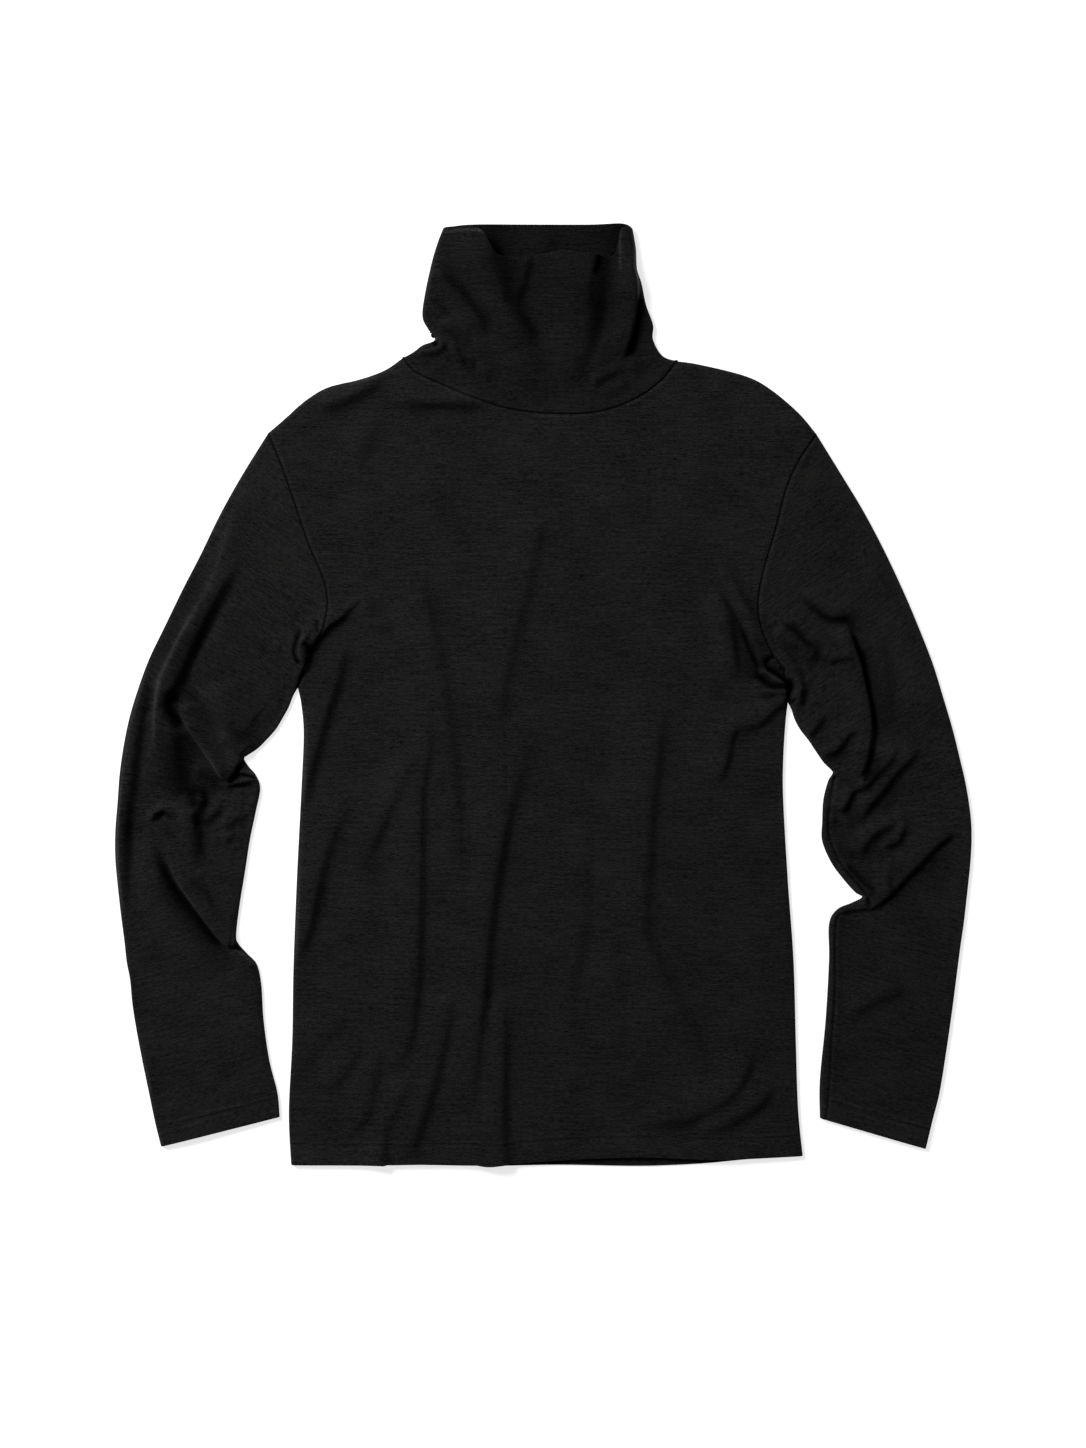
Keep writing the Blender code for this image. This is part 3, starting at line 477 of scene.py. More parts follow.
# %% The folds of the sleeves
SLEEVE_FOLDS = {
    "left_outer_edge": (((-338, 40), (-345, 8), (-350, -25), (-356, -65), (-361, -100),
      (-363, -130), (-363, -165), (-360, -205)), 4.8, 10, 6, .2, .25, 0),
    "left_ridge_lip": (((-337, -66), (-341, -45), (-341, -25), (-338, 5), (-331, 26), (-318, 52),
      (-292, 98), (-275, 150), (-264, 190)), 8.5, 16, 3.5, .15, .5, 0),
    "left_valley_upper": (((-258, 125), (-280, 88), (-296, 56), (-305, 36), (-313, 18), (-322, 2),
      (-329, -9)), 9, 16, 7, .3, .05, 0),
    "left_panel_lip": (((-316, 8), (-306, 28), (-291, 55), (-274, 88), (-262, 108)),
      5, 26, 8, .2, .6, 0),
    "left_valley_down": (((-329, -8), (-324, -18), (-319, -30), (-318, -50), (-316, -68),
      (-311, -92)), 6.5, 18, 9, .05, .35, 0),
    "left_flap": (((-278, -78), (-287, -63), (-295, -51), (-303, -39), (-312, -26), (-320, -9)),
      9.5, 9, 4, .15, .08, 1.5),
    "left_flap_back": (((-252, -52), (-272, -40), (-290, -14), (-306, 12)), 6, 22, 14, .3, .3, 0),
    "left_panel_soft": (((-280, -24), (-270, -32), (-260, -41), (-252, -47)), 6, 10, 6, .3, .2, 0),
    "left_panel_faint": (((-276, 26), (-265, 5), (-257, -5), (-246, -14), (-236, -22)),
      2.2, 12, 7, .3, .3, 0),
    "left_flap_end": (((-261, -55), (-269, -65), (-277, -78)), 7, 12, 2.5, .15, .2, 1.5),
    "left_roll": (((-250, -73), (-258, -71), (-269, -68)), 4.5, 4, 2.5, 0, .3, 0),
    "left_under_roll": (((-253, -76), (-265, -79), (-279, -81)), 3.6, 5, 3, 0, .2, 0),
    "left_valley_low": (((-304, -98), (-303, -110), (-301, -125), (-300, -142), (-301, -158)),
      4.5, 14, 7, .1, .45, 0),
    "left_valley_tail": (((-308, -158), (-300, -168), (-291, -179), (-284, -197)),
      3.2, 10, 6, .3, .4, 0),
    "left_hook": (((-318, -94), (-308, -85), (-300, -83), (-295, -92), (-298, -102)),
      3.5, 6, 3, .2, .2, 0),
    "left_crease_a": (((-277, -97), (-284, -102), (-290, -108), (-299, -117)),
      2.8, 6, 4.5, .3, .2, 0),
    "left_crease_b": (((-262, -105), (-268, -110), (-273, -114), (-279, -121)),
      2.4, 6, 4.5, .3, .3, 0),
    "left_crease_c": (((-267, -121), (-273, -126), (-280, -132)), 2.4, 5, 3.5, .3, .3, 0),
    "left_small_knot": (((-321, -112), (-327, -107), (-332, -103), (-338, -106), (-345, -114)),
      4.5, 4, 3, .2, .3, 0),
    "left_lower_dark": (((-346, -118), (-336, -143), (-326, -163), (-313, -181), (-300, -197),
      (-288, -212), (-275, -228), (-265, -236)), 6.5, 22, 6, .3, .2, 0),
    "left_lower_lip": (((-271, -222), (-284, -213), (-297, -196), (-309, -179), (-321, -161),
      (-333, -139)), 8.5, 12, 3.5, .05, .35, 1),
    "left_notch": (((-271, -220), (-264, -226), (-254, -233)), 3, 4, 3, .2, 0, 0),
    "left_forearm": (((-346, -304), (-340, -331), (-335, -358)), 2.4, 9, 8, .4, .4, 0),
    "left_small_w": (((-239, 38), (-233, 47), (-228, 35)), 2, 3, 2.5, .3, .3, 0),
    "right_outer_soft": (((283, 140), (300, 105), (313, 75), (323, 50), (333, 20)),
      3.2, 25, 8, .3, .3, 0),
    "right_long_soft": (((297, 70), (302, 30), (305, -5), (304, -36)), 3.2, 11, 8, .3, .3, 0),
    "right_long": (((265, 66), (268, 54), (273, 40), (277.5, 28), (282, 8), (286, -12),
      (287.5, -32), (285, -50), (281, -64), (275, -78)), 5.4, 14, 3.2, .1, .08, 1),
    "right_top": (((276, 60), (269, 67), (261, 66), (252, 66), (244, 69), (236, 75), (229, 81),
      (219, 93)), 5.4, 14, 4.5, .3, .3, 0),
    "right_armpit": (((203, 65), (213, 60), (220, 54), (227, 48), (234, 44), (248, 41)),
      6, 10, 5, .2, .25, 0),
    "right_armpit_lip": (((263, 33), (250, 43), (240, 49), (229, 56), (217, 64), (204, 71)),
      4.6, 8, 3.5, .2, .3, 0),
    "right_armpit_out": (((276, 31), (262, 30), (251, 28), (243, 33), (236, 40)),
      4.4, 8, 4, .2, .3, 0),
    "right_armpit_ridge": (((205, 50), (213, 38), (220, 28), (226, 16), (228, -2), (223, -16)),
      4.4, 7, 4, .3, .2, 0),
    "right_inner_short": (((250, -15), (245, -23), (237, -33), (232, -41)), 3, 7, 4.5, .3, .15, 0),
    "right_inner_long": (((283, -40), (278, -36), (271, -35), (266, -40), (258, -50), (251, -53),
      (242, -53)), 3.8, 9, 4.8, .15, .15, 0),
    "right_diagonal_a": (((316, -42), (304, -60), (298, -66), (291, -72), (284, -80), (276, -84)),
      4.4, 9, 4.6, .2, .1, 0),
    "right_diagonal_b": (((275, -84), (270, -90), (267, -96), (261, -106)), 4, 9, 4.6, .15, .2, 0),
    "right_diagonal_c": (((333, -44), (320, -60), (313, -66), (306, -74), (300, -82), (293, -91),
      (286, -98), (281, -106), (275, -113), (268, -122)), 4, 12, 5, .12, .3, 0),
    "right_arc": (((309, -97), (317, -108), (318, -120)), 1.6, 6, 5, .3, .3, 0),
    "right_arch_high": (((312, -117), (302, -118), (295, -121), (288, -127), (282, -134),
      (278, -146)), 3.6, 8, 5, .2, .3, 0),
    "right_arch_low": (((319, -112), (315, -122), (312, -129), (304, -133), (295, -135)),
      3, 7, 4.5, .2, .2, 0),
    "right_elbow_fold": (((363, -119), (356, -124), (349, -129), (341, -136), (334, -144),
      (326, -152), (319, -159), (312, -166), (304, -175), (297, -181), (289, -186), (278, -188)),
      3.8, 15, 3.6, .12, .1, .5),
    "right_elbow_soft": (((307, -141), (304, -156), (303, -165), (303, -176)),
      3, 8, 4.5, .3, .1, 0),
    "right_seam_side": (((262, -140), (268, -151), (275, -160), (284, -168), (295, -175)),
      4, 7, 5, .3, .2, 0),
    "right_forearm": (((322, -259), (300, -266), (289, -271), (264, -285)), 4, 14, 6, .3, .3, 0),
}

# %% The folds of the collar
COLLAR_FOLDS = {
    "lobe": (((-48, 406), (-44, 392), (-41, 380), (-36, 364), (-30, 348), (-22, 333), (-15, 321),
      (-8, 309), (-3, 292)), 8.5, 18, 9, 0, .35, .5),
    "lobe_left_side": (((-90, 384), (-84, 366), (-77, 358), (-70, 351), (-64, 343), (-57, 335),
      (-50, 324), (-46, 304)), 4.5, 14, 8, .2, .35, 0),
    "lobe_second": (((-100, 348), (-89, 339), (-79, 333)), 2.6, 6, 4, .3, .3, 0),
    "lobe_low": (((-60, 276), (-69, 288), (-76, 303), (-82, 315), (-97, 325)), 4, 9, 7, .3, .2, 0),
    "lobe_low_wide": (((-52, 270), (-60, 292), (-70, 312)), 2.5, 10, 6, .3, .3, 0),
    "curl_left": (((-105, 301), (-92, 304), (-91, 312)), 3.5, 3, 2.5, 0, .3, 0),
    "plateau_edge": (((52, 394), (51, 372), (49, 355), (48, 335), (45, 312), (38, 288), (26, 262)),
      5, 26, 11, 0, .4, 0),
    "plateau_left": (((-9, 386), (-11, 374), (-15, 358), (-20, 344), (-17, 330), (-8, 314)),
      2, 9, 5, .1, .3, 0),
    "strip_inner": (((30, 270), (38, 286), (46, 300), (54, 316), (61, 335), (65, 353), (66, 375),
      (66, 410)), 3.5, 16, 8, .3, 0, 0),
    "strip_outer": (((84, 370), (83, 353), (81, 335), (78, 319), (74, 303), (69, 289)),
      8, 16, 3.5, 0, .25, 1.5),
    "base_right": (((72, 285), (63, 279), (55, 276), (43, 269)), 2.6, 8, 6, .2, .2, 0),
    "base_right_low": (((80, 276), (70, 268), (60, 262), (48, 256)), 1.5, 8, 5, .3, .3, 0),
}
FOLDS = [dict(zip(FOLD_COLUMNS, row))
         for folds in (BODY_FOLDS, SLEEVE_FOLDS, COLLAR_FOLDS) for row in folds.values()]

# %% [markdown]
# Some dark lines are not the side of a ridge but a crease pressed into the cloth, where little
# light comes in. A crease has its points, its depth and width, how much painted shade darkens its
# yarn from 0 to 1, and how soon it begins and ends. Its width on the side away from the light is a
# number of its own, because the painted shade reaches further there. A shade below 0 is a painted
# highlight, such as the lip of a fold that catches the light. Rows with no depth are only painted
# shade or painted highlight, some of them broad.

# %% The creases
CREASE_COLUMNS = ("path", "depth", "width", "far_width", "shade", "fade_in", "fade_out")
BODY_CREASES = [
    # Under the left arm
    (((-202, 50), (-205, 35), (-209, 19)), 0, 7, 9, .35, .3, .3),
    (((-166, 77), (-176, 66), (-186, 60), (-195, 50)), .5, 2.5, 3, .5, .3, 0),
    (((-194, 53), (-201, 44), (-206, 34), (-209, 22)), 1.5, 3.6, 4.6, .92, .2, .2),
    (((-208, 24), (-212, 15), (-215, 8)), 1, 2, 2, .9, .2, 0),
    (((-211, 57), (-215, 51), (-218, 43), (-218, 35), (-213, 24)), 2.5, 2, 2, .9, .15, .15),
    (((-211, 46), (-207, 42), (-206, 34)), 3, 3.4, 3.4, .97, .1, .2),
    (((-207, 51), (-204, 48)), 2, 1.8, 1.8, .6, .2, .2),
    (((-199, 68), (-198, 62), (-200, 54)), 1.2, 2.6, 2.6, .6, .3, .1),
    (((-212, 28), (-214.5, 37), (-213, 46), (-209, 53), (-204, 51)), 0, 1.5, 1.5, -.5, .1, .2),
    # Under the right arm
    (((160, 78), (166, 58), (172, 40), (180, 22), (186, 10)), 0, 8, 8, .42, .3, .2),
    (((150, 97), (160, 80), (166, 62), (168, 45), (171, 28)), 0, 2.5, 4, .4, .3, .3),
    (((172, 62), (177, 48), (182, 36), (188, 22)), .4, 2, 3.5, .6, .3, .1),
    (((176, 90), (184, 71), (191, 56)), 0, 4, 5, .28, .3, .2),
    (((186, 20), (193, 12), (199, 8), (206, 7), (213, 8)), 2, 4, 4, .9, .25, 0),
    (((203, 33), (197, 31), (194.5, 26), (197, 22)), 1.5, 1.6, 1.6, .85, .15, 0),
    (((195, 24), (199, 21.5), (205, 18), (212, 12), (216, 8)), 3, 3, 3, .97, .1, 0),
    (((200, 27), (204, 25)), 0, 3, 3, .3, .1, .1),
    (((206, 22), (212, 23)), 1.5, 1.6, 1.6, .8, .2, .2),
    (((216, 15), (216, 9), (215, 2), (214, -6)), 2, 2.4, 2.4, .95, .15, 0),
    (((187, 0), (196, -2), (205, 1)), .3, 3, 3, .35, .3, .2),
    (((211, -10), (202, -16), (194, -23), (184, -29), (171, -32), (165, -44)),
      .4, 2, 4, .12, .1, .3),
    (((186, 62), (194, 32), (200, 6)), 0, 20, 20, .2, .4, .2),
    (((191, 24), (197, 17.5), (203, 13.5), (211, 9)), 0, 1.5, 1.5, -.6, .2, .1),
    (((188, 7), (196, 4), (203, 3.5), (211, 5)), 0, 1.4, 1.4, -.5, .3, .1),
    (((190, 27), (191, 33), (196, 37), (203, 36)), 0, 1.8, 1.8, -.3, .3, .3),
    # Elsewhere, with broad painted shade and a painted highlight over the right shoulder
    (((-190, 50), (-196, 20), (-200, -20)), 0, 20, 22, .18, .2, .4),
    (((-165, 264), (-145, 248), (-125, 235)), 0, 22, 22, .1, .3, .3),
    (((130, 286), (175, 276), (215, 250), (235, 232)), 0, 12, 12, -.16, .2, .2),
    (((-44, -215), (-50, -262), (-55, -305), (-60, -345), (-66, -378)), 0, 2.5, 5, .4, .3, .3),
    (((-176, 20), (-184, -8), (-194, -42), (-203, -75), (-208, -98)), 0, 2.5, 5, .25, .3, .2),
    (((-186, -138), (-196, -175), (-203, -205), (-214, -238)), 0, 2.5, 5, .3, .4, .2),
    (((-45, 251), (-75, 252), (-105, 252), (-135, 256)), .3, 4, 6, .4, .35, .4),
    (((-150, 268), (-172, 256), (-196, 247)), .2, 4, 6, .3, .3, .3),
    (((180, -335), (165, -355), (145, -367), (118, -375), (86, -378)), .3, 4, 6, .2, .3, .3),
    (((198, -353), (180, -367), (155, -380)), .3, 3, 4, .1, .3, .3),
    (((-127, 293), (-115, 279), (-98, 269), (-70, 257)), .4, 1.2, 1.2, .2, .2, .3),
]
SLEEVE_CREASES = [
    # The ridge of the left sleeve and the valley beside it, down to the elbow
    (((-250, 238), (-278, 200), (-300, 160), (-316, 125)), 0, 18, 18, -.6, .3, .3),
    (((-286, 110), (-305, 75), (-318, 50), (-328, 30), (-334, 18), (-337.5, 5), (-340, -15),
      (-341, -38), (-340, -60)), 0, 2, 2, -.7, .4, .3),
    (((-280, 92), (-292, 66), (-303, 41), (-308, 29), (-313, 18.5), (-318, 11), (-323, 0)),
      .6, 6.5, 7.5, .52, .4, 0),
    (((-296, 72), (-314, 34), (-326, 6)), 0, 11, 7, .35, .4, .2),
    (((-321, 4), (-327, -7), (-327, -13), (-321, -22), (-317, -33)), 2, 5.5, 6.5, .97, .15, .2),
    (((-318, -28), (-318, -45), (-317, -62), (-314, -80), (-309, -96)), .5, 13, 12, .6, .15, .2),
    (((-313, -22), (-304, -45), (-298, -66)), 0, 11, 11, .4, .3, .3),
    (((-330, -30), (-332, -62), (-328, -90)), 0, 12, 12, .34, .3, .3),
    (((-314, 10), (-305, -4), (-296, -15), (-289, -27), (-287, -38)), 1.6, 5.5, 5.5, .34, .3, .3),
    (((-316, -12), (-309, -26), (-300, -39), (-292, -51), (-284, -64), (-278, -74)),
      0, 2.2, 2.2, -.32, .15, .15),
    (((-281, -24), (-269, -33), (-258, -43)), .4, 6, 6, .42, .3, .3),
    (((-270, -22), (-262, -34), (-262, -50)), 0, 14, 14, .05, .3, .3),
    (((-271, 19), (-265, 4), (-256, -5), (-240, -18)), 0, 6, 6, .08, .3, .3),
    (((-341, 35), (-346, 8), (-351, -25), (-356, -65), (-361, -100), (-363, -130), (-363, -165),
      (-361, -195)), 0, 8, 5, .5, .35, .35),
    (((-292, 122), (-314, 82), (-330, 48), (-343, 14), (-351, -14)), 0, 11, 11, .38, .25, .5),
    (((-362, -104), (-362, -118), (-363, -132)), 0, 5, 2.5, .5, .4, .4),
    # Inside the left elbow
    (((-302, -62), (-286, -75), (-270, -86)), 0, 12, 12, .22, .2, .3),
    (((-262, -57), (-267, -64), (-271, -71), (-276, -78)), 1.5, 2.2, 2.2, .97, .1, .1),
    (((-251, -73), (-260, -70.5), (-269, -68)), 1.2, 1.2, 1.2, .85, .1, .2),
    (((-252, -75), (-262, -74.5), (-273, -75)), 0, 1.4, 1.4, -.35, .2, .2),
    (((-254, -77), (-262, -79), (-278, -81)), .8, 1.8, 1.8, .7, .15, .15),
    (((-280, -79), (-294, -72), (-304, -64)), 0, 7, 7, .5, .3, .3),
    (((-316, -90), (-308, -85), (-301, -83), (-296, -90), (-298, -100), (-303, -108),
      (-300, -118)), 2, 3.5, 5.5, .72, .2, .1),
    (((-313, -84), (-306, -92), (-302, -104)), 0, 8, 8, .5, .2, .2),
    (((-302, -100), (-301, -116), (-300, -135), (-300, -156)), 1, 7, 6, .65, .15, .5),
    (((-297, -116), (-291, -109), (-284, -103), (-278, -98)), .3, 2, 3.5, .45, .1, .4),
    (((-279, -121), (-272, -114), (-265, -107)), .3, 2, 3.5, .35, .3, .3),
    (((-309, -160), (-300, -169), (-291, -179), (-284, -196)), 0, 4.5, 5, .35, .3, .4),
    (((-262, -62), (-262, -85), (-263, -112)), .3, 1.2, 1.2, .3, .2, .4),
    (((-258, -80), (-259, -100)), 0, 1.6, 1.6, -.2, .3, .4),
    (((-343, -109), (-337, -105), (-332, -103), (-328, -106), (-323, -110)),
      1.5, 2.5, 4, .62, .3, .2),
    (((-346, -103), (-338, -98), (-331, -97), (-325, -101)), 0, 2, 2, -.2, .3, .3),
    (((-335, -114), (-328, -123), (-319, -123)), .6, 3, 3, .4, .3, .3),
    (((-357, -117), (-350, -120)), .3, 3, 3, .35, .3, .3),
    (((-341, -128), (-334, -147), (-326, -163), (-313, -181), (-300, -197), (-288, -212),
      (-276, -226)), 1, 6, 4, .84, .25, .15),
    (((-340, -150), (-322, -180), (-302, -205), (-282, -228)), 0, 10, 8, .42, .3, .2),
    (((-335, -138), (-327, -152), (-318, -166), (-307, -181), (-295, -196), (-283, -211),
      (-273, -221)), 0, 1.8, 1.8, -.4, .3, .1),
    (((-270, -219), (-265, -224)), 1, 1.8, 1.8, .8, .1, .2),
    (((-271, -222), (-261, -228)), 0, 1.2, 1.2, -.8, .2, .2),
    (((-244, 48), (-245, 37), (-238, 36)), 1.2, 2, 2, .35, .3, .3),
    # The top of the right sleeve
    (((352, -10), (362, -80), (366, -140), (360, -210), (352, -290)), 0, 12, 12, -.16, .3, .4),
    (((250, -55), (250, -110), (264, -150), (262, -195), (256, -230), (252, -300), (250, -365)),
      0, 11, 11, .18, .2, .2),
    (((273.5, 44), (278, 32), (282, 16)), 0, 2, 4.2, .9, .3, .5),
    (((300, 60), (318, 20), (325, -20)), 0, 18, 18, -.14, .3, .3),
    (((265, 215), (300, 150), (330, 70), (346, 20)), 0, 25, 25, -.12, .3, .3),
    (((219, 93), (229, 81), (236, 75), (244, 69), (252, 66), (261, 66), (269, 67)),
      .4, 2.6, 4.5, .68, .4, .1),
    (((266, 66), (270, 60), (272, 53)), .2, 4, 4, .5, .2, .2),
    (((205, 63), (214, 60), (221, 54), (228, 47), (235, 44), (247, 42)), .4, 3, 4.5, .7, .25, .3),
    (((218, 50), (230, 38), (245, 33)), 0, 9, 9, .2, .3, .3),
    (((204, 70), (218, 64), (229, 56), (241, 49), (250, 44), (259, 36)), 0, 2, 2, -.25, .3, .3),
    (((250, 28), (261, 29.5), (274, 31)), .4, 2.2, 2.6, .42, .25, .15),
    (((236, 40), (243, 34), (250, 29)), .2, 3, 3, .3, .2, .2),
    (((221, 44), (221, 39)), 1.2, 1.6, 1.6, .7, .2, .2),
    (((226, 6), (227, -3), (225, -12)), .5, 3, 3, .4, .3, .3),
    (((206, 50), (215, 38), (222, 26)), 0, 5, 5, .3, .3, .3),
    (((269, 56), (272, 48), (275, 40), (278, 32), (281, 20), (283.5, 9), (286, -3), (288.4, -17),
      (289.6, -32), (287.5, -46)), 1.6, 1.6, 3, .97, .1, .2),
    (((272, 50), (279, 30), (284, 8), (288, -20), (289, -50)), 0, 3, 15, .36, .2, .3),
    (((287, -44), (285.5, -56), (283, -67), (279.5, -77)), 1, 2, 4, .85, .2, .1),
    (((294, -48), (290, -64), (282, -76)), 0, 8, 8, .42, .3, .3),
    (((246, -19), (243, -26), (234, -38)), .3, 2, 3.5, .3, .3, .1),
    (((279, -37), (271, -35), (266, -40), (258, -50), (251, -53), (243, -53)),
      .4, 2.2, 4, .5, .2, .1),
    (((270, -42), (262, -54), (254, -60)), 0, 8, 10, .26, .3, .3),
    (((258, -74), (264, -76), (270, -78)), 0, 6, 6, .25, .3, .3),
    # Inside the right elbow
    (((362, -121), (352, -128), (340, -139)), 0, 1.6, 3, .35, .2, .4),
    (((318, -162), (304, -176), (292, -186)), 0, 1.6, 3.5, .4, .4, .1),
    (((310, -52), (304, -60), (298, -66), (291, -72)), .3, 2.2, 4, .65, .3, 0),
    (((293, -70), (285, -80), (279, -83), (273, -85), (269, -92), (265, -101), (261, -107)),
      1, 2, 4, .85, .2, .2),
    (((262, -96), (268, -106), (276, -118)), 0, 9, 9, .25, .3, .3),
    (((329, -49), (320, -60), (313, -67), (307, -74), (301, -82), (294, -91), (287, -98),
      (282, -106), (277, -113)), .6, 1.8, 4, .62, .25, .2),
    (((312, -72), (298, -90), (284, -107)), 0, 4, 10, .3, .3, .3),
    (((310, -117), (302, -118), (295, -121), (288, -127), (282, -134), (278, -147)),
      .4, 2.6, 5, .55, .25, .3),
    (((318, -113), (315, -123), (311, -129), (304, -133), (297, -134)), .4, 2, 3.5, .5, .2, .2),
    (((272, -134), (268, -146)), 0, 9, 9, .3, .3, .3),
    (((264, -144), (270, -154), (277, -161), (285, -168), (294, -174)), .3, 2.4, 4, .55, .25, .2),
    (((304, -156), (303, -165), (304, -174)), .4, 1.8, 3, .5, .3, .1),
    (((312, -143), (308, -162)), 0, 6, 6, .28, .3, .3),
    (((361, -122), (356, -125.5), (350, -130), (343, -136), (335, -145), (328, -153), (320, -160),
      (314, -167), (307, -174), (300, -180), (292, -186.5)), 1, 1.4, 2.4, .46, .15, .1),
    (((354, -129), (337, -146), (322, -160), (306, -176), (292, -188)), 0, 2, 9, .42, .25, .3),
    (((364, -110), (364, -130)), 0, 3, 3, .25, .3, .3),
    (((292, -187), (279, -189.5), (268, -191), (260, -194)), .6, 1.6, 1.8, .75, .1, .1),
    (((262, -195), (258, -200)), 0, 4, 4, .4, .3, .3),
    (((282, -177), (284, -182), (281, -185)), 1.2, 2, 2, .8, .2, .2),
    (((253, -112), (259, -111)), 1, 2.2, 2.2, .6, .3, .3),
    (((253, -72), (257, -72.5)), 1.5, 1.5, 1.5, .8, .2, .3),
    (((318, -262), (300, -267), (288, -272), (268, -283)), .3, 4, 6, .12, .3, .3),
    (((318, -256), (296, -262), (276, -271)), 0, 6, 5, -.1, .4, .4),
]
COLLAR_CREASES = [
    (((-50, 372), (5, 352), (60, 338)), 0, 30, 30, .2, 0, 0),
    (((52, 395), (53, 355), (48, 315)), 0, 16, 14, .2, 0, .3),
    (((-88, 404), (-70, 406), (-56, 404)), 0, 1.2, 1.2, -1.2, .1, 0),
    (((-48, 404), (-46, 393), (-42, 384)), 0, 3, 6, .6, 0, .5),
    (((-33, 390), (-31, 372), (-27, 352), (-20, 330), (-12, 312)), 0, 9, 11, .42, 0, .4),
    (((-56, 404), (-50, 400), (-47, 391), (-44, 380)), 0, 1.8, 1.2, -1.2, 0, .4),
    (((-9, 386), (-12, 372), (-15, 358), (-20, 345), (-18, 334)), .5, 3, 3, .4, .2, .3),
    (((-18, 336), (-14, 325), (-7, 314), (-8, 303)), .5, 4, 4, .5, .25, .4),
    (((-6, 306), (-4, 290), (-3, 276)), 0, 7, 7, .25, .3, .4),
    (((50.5, 391), (48.5, 382), (46.5, 373), (42, 363)), 1.5, 2.4, 4.5, .96, 0, .3),
    (((42, 368), (41, 350), (40, 330)), .5, 3, 5, .35, .2, .4),
    (((54, 392), (54, 370), (51, 345), (46, 318), (38, 292)), 0, 9, 8, .44, 0, .35),
    (((36, 300), (32, 280), (24, 262)), 0, 7, 7, .28, .3, .4),
    (((67, 404), (67, 385), (67, 366)), 0, 1.2, 1.2, -1.2, 0, .3),
    (((79.5, 400), (80.6, 385), (81.6, 370), (82.6, 354), (82.3, 338)), 0, 1, 1, -2.4, 0, .3),
    (((-88, 380), (-84, 366), (-77, 358), (-70, 351), (-64, 343), (-57, 335), (-51, 325),
      (-48, 305)), .4, 4, 6, .5, .25, .3),
    (((-99, 347), (-89, 339), (-80, 334)), .6, 2, 3.5, .4, .3, .3),
    (((-100, 364), (-91, 357)), .3, 3, 4, .3, .3, .3),
    (((-95, 323), (-84, 318), (-77, 311), (-75, 302), (-69, 288), (-61, 278)),
      .4, 3, 5, .5, .25, .3),
    (((-97, 308), (-92, 306)), 2, 2.4, 2.4, .97, .1, .2),
    (((83, 350), (82, 336), (79, 319), (75.5, 306), (72, 293)), 1, 1.8, 5.5, .97, .15, .15),
    (((66, 283), (57, 277), (50, 273), (43, 269)), .4, 2.4, 4, .45, .2, .2),
    (((75, 290), (84, 283), (92, 290)), 0, 7, 7, .3, .3, .3),
]
CREASES = [dict(zip(CREASE_COLUMNS, row))
           for creases in (BODY_CREASES, SLEEVE_CREASES, COLLAR_CREASES) for row in creases]
print("folds:", len(FOLDS), "creases:", len(CREASES))

# %% [markdown]
# The height of a fold at a point depends on its distance to the fold's curve. Where folds cross,
# the higher one should win without the two adding up to a tower, so they are blended by powers.
# The creases are pressed in afterwards.

# %% Heights from folds
CREST_SHIFT = 0.8              # from a fold's curve to its crest, as a share of the steep width
END_WIDTH = 0.55               # how wide a fold's gentle side is at its ends, as a share
FOLD_BLEND = 3.0
TO_LIGHT = np.array([-0.8, 0.6])
PATH_SAMPLES = 6               # between two points of a row
WIDTHS_AWAY = 3                # how many widths from its path a fold or a crease still counts


def fading(share, fade_in, fade_out):
    """1 along the middle of a path, falling softly to 0 at its ends."""
    alive = np.ones(len(share))
    if fade_in:
        alive = alive * soft_step(share / fade_in)
    if fade_out:
        alive = alive * soft_step((1 - share) / fade_out)
    return alive


def smooth_path(points):
    return smooth_outline(points, PATH_SAMPLES * (len(points) - 1))


def near_rows(points, rows, one_width, other_width):
    """Each row with points near it: which ones, their offsets and normals, and its strength."""
    for row in rows:
        path = smooth_path(row["path"])
        reach = WIDTHS_AWAY * max(row[one_width], row[other_width])
        near = np.all((points > path.min(0) - reach) & (points < path.max(0) + reach), axis=1)
        if near.any():
            offset, share, normal = beside_path(points[near], path)
            yield row, near, offset, normal, fading(share, row["fade_in"], row["fade_out"])


def crease_field(xy, creases):
    """Each plan point's crease depth, and the share of yarn colour left by their painted shade."""
    points = xy.reshape(-1, 2)
    depth, lit = np.zeros(len(points)), np.ones(len(points))
    for crease, near, offset, normal, alive in near_rows(points, creases, "width", "far_width"):
        far_side = offset * (normal @ TO_LIGHT) < 0
        pressed = bell(offset, np.where(far_side, crease["far_width"], crease["width"])) * alive
        depth[near] += crease["depth"] * pressed
        lit[near] *= 1 - crease["shade"] * pressed
    return depth.reshape(xy.shape[:-1]), lit.reshape(xy.shape[:-1])


def fold_field(xy):
    """How far the folds lift each plan point, push it sideways, and the creases' painted shade."""
    points = xy.reshape(-1, 2)
    lifted, pushed = np.zeros(len(points)), np.zeros((len(points), 2))
    for fold, near, offset, normal, alive in near_rows(points, FOLDS, "gentle", "steep"):
        from_crest = offset + CREST_SHIFT * fold["steep"]
        gentle = fold["gentle"] * (END_WIDTH + (1 - END_WIDTH) * alive)
        shape = bell(from_crest, np.where(from_crest > 0, fold["steep"], gentle)) * alive
        lifted[near] += (fold["rise"] * shape) ** FOLD_BLEND
        lean = fold["lean"] * bell(from_crest, fold["steep"]) * alive
        pushed[near] += normal * lean[:, None]
    lifted = lifted ** (1 / FOLD_BLEND)
    depth, lit = crease_field(xy, CREASES)
    return lifted.reshape(depth.shape) - depth, pushed.reshape(xy.shape), 1 - lit


# %% [markdown]
# Between the folds a laid sweater is never flat. Slow swells run through the body, and the cloth
# around the elbows and under the arms is crumpled. Both are sums of a few waves with random
# directions, drawn from seeded numbers so that every run gives the same cloth.

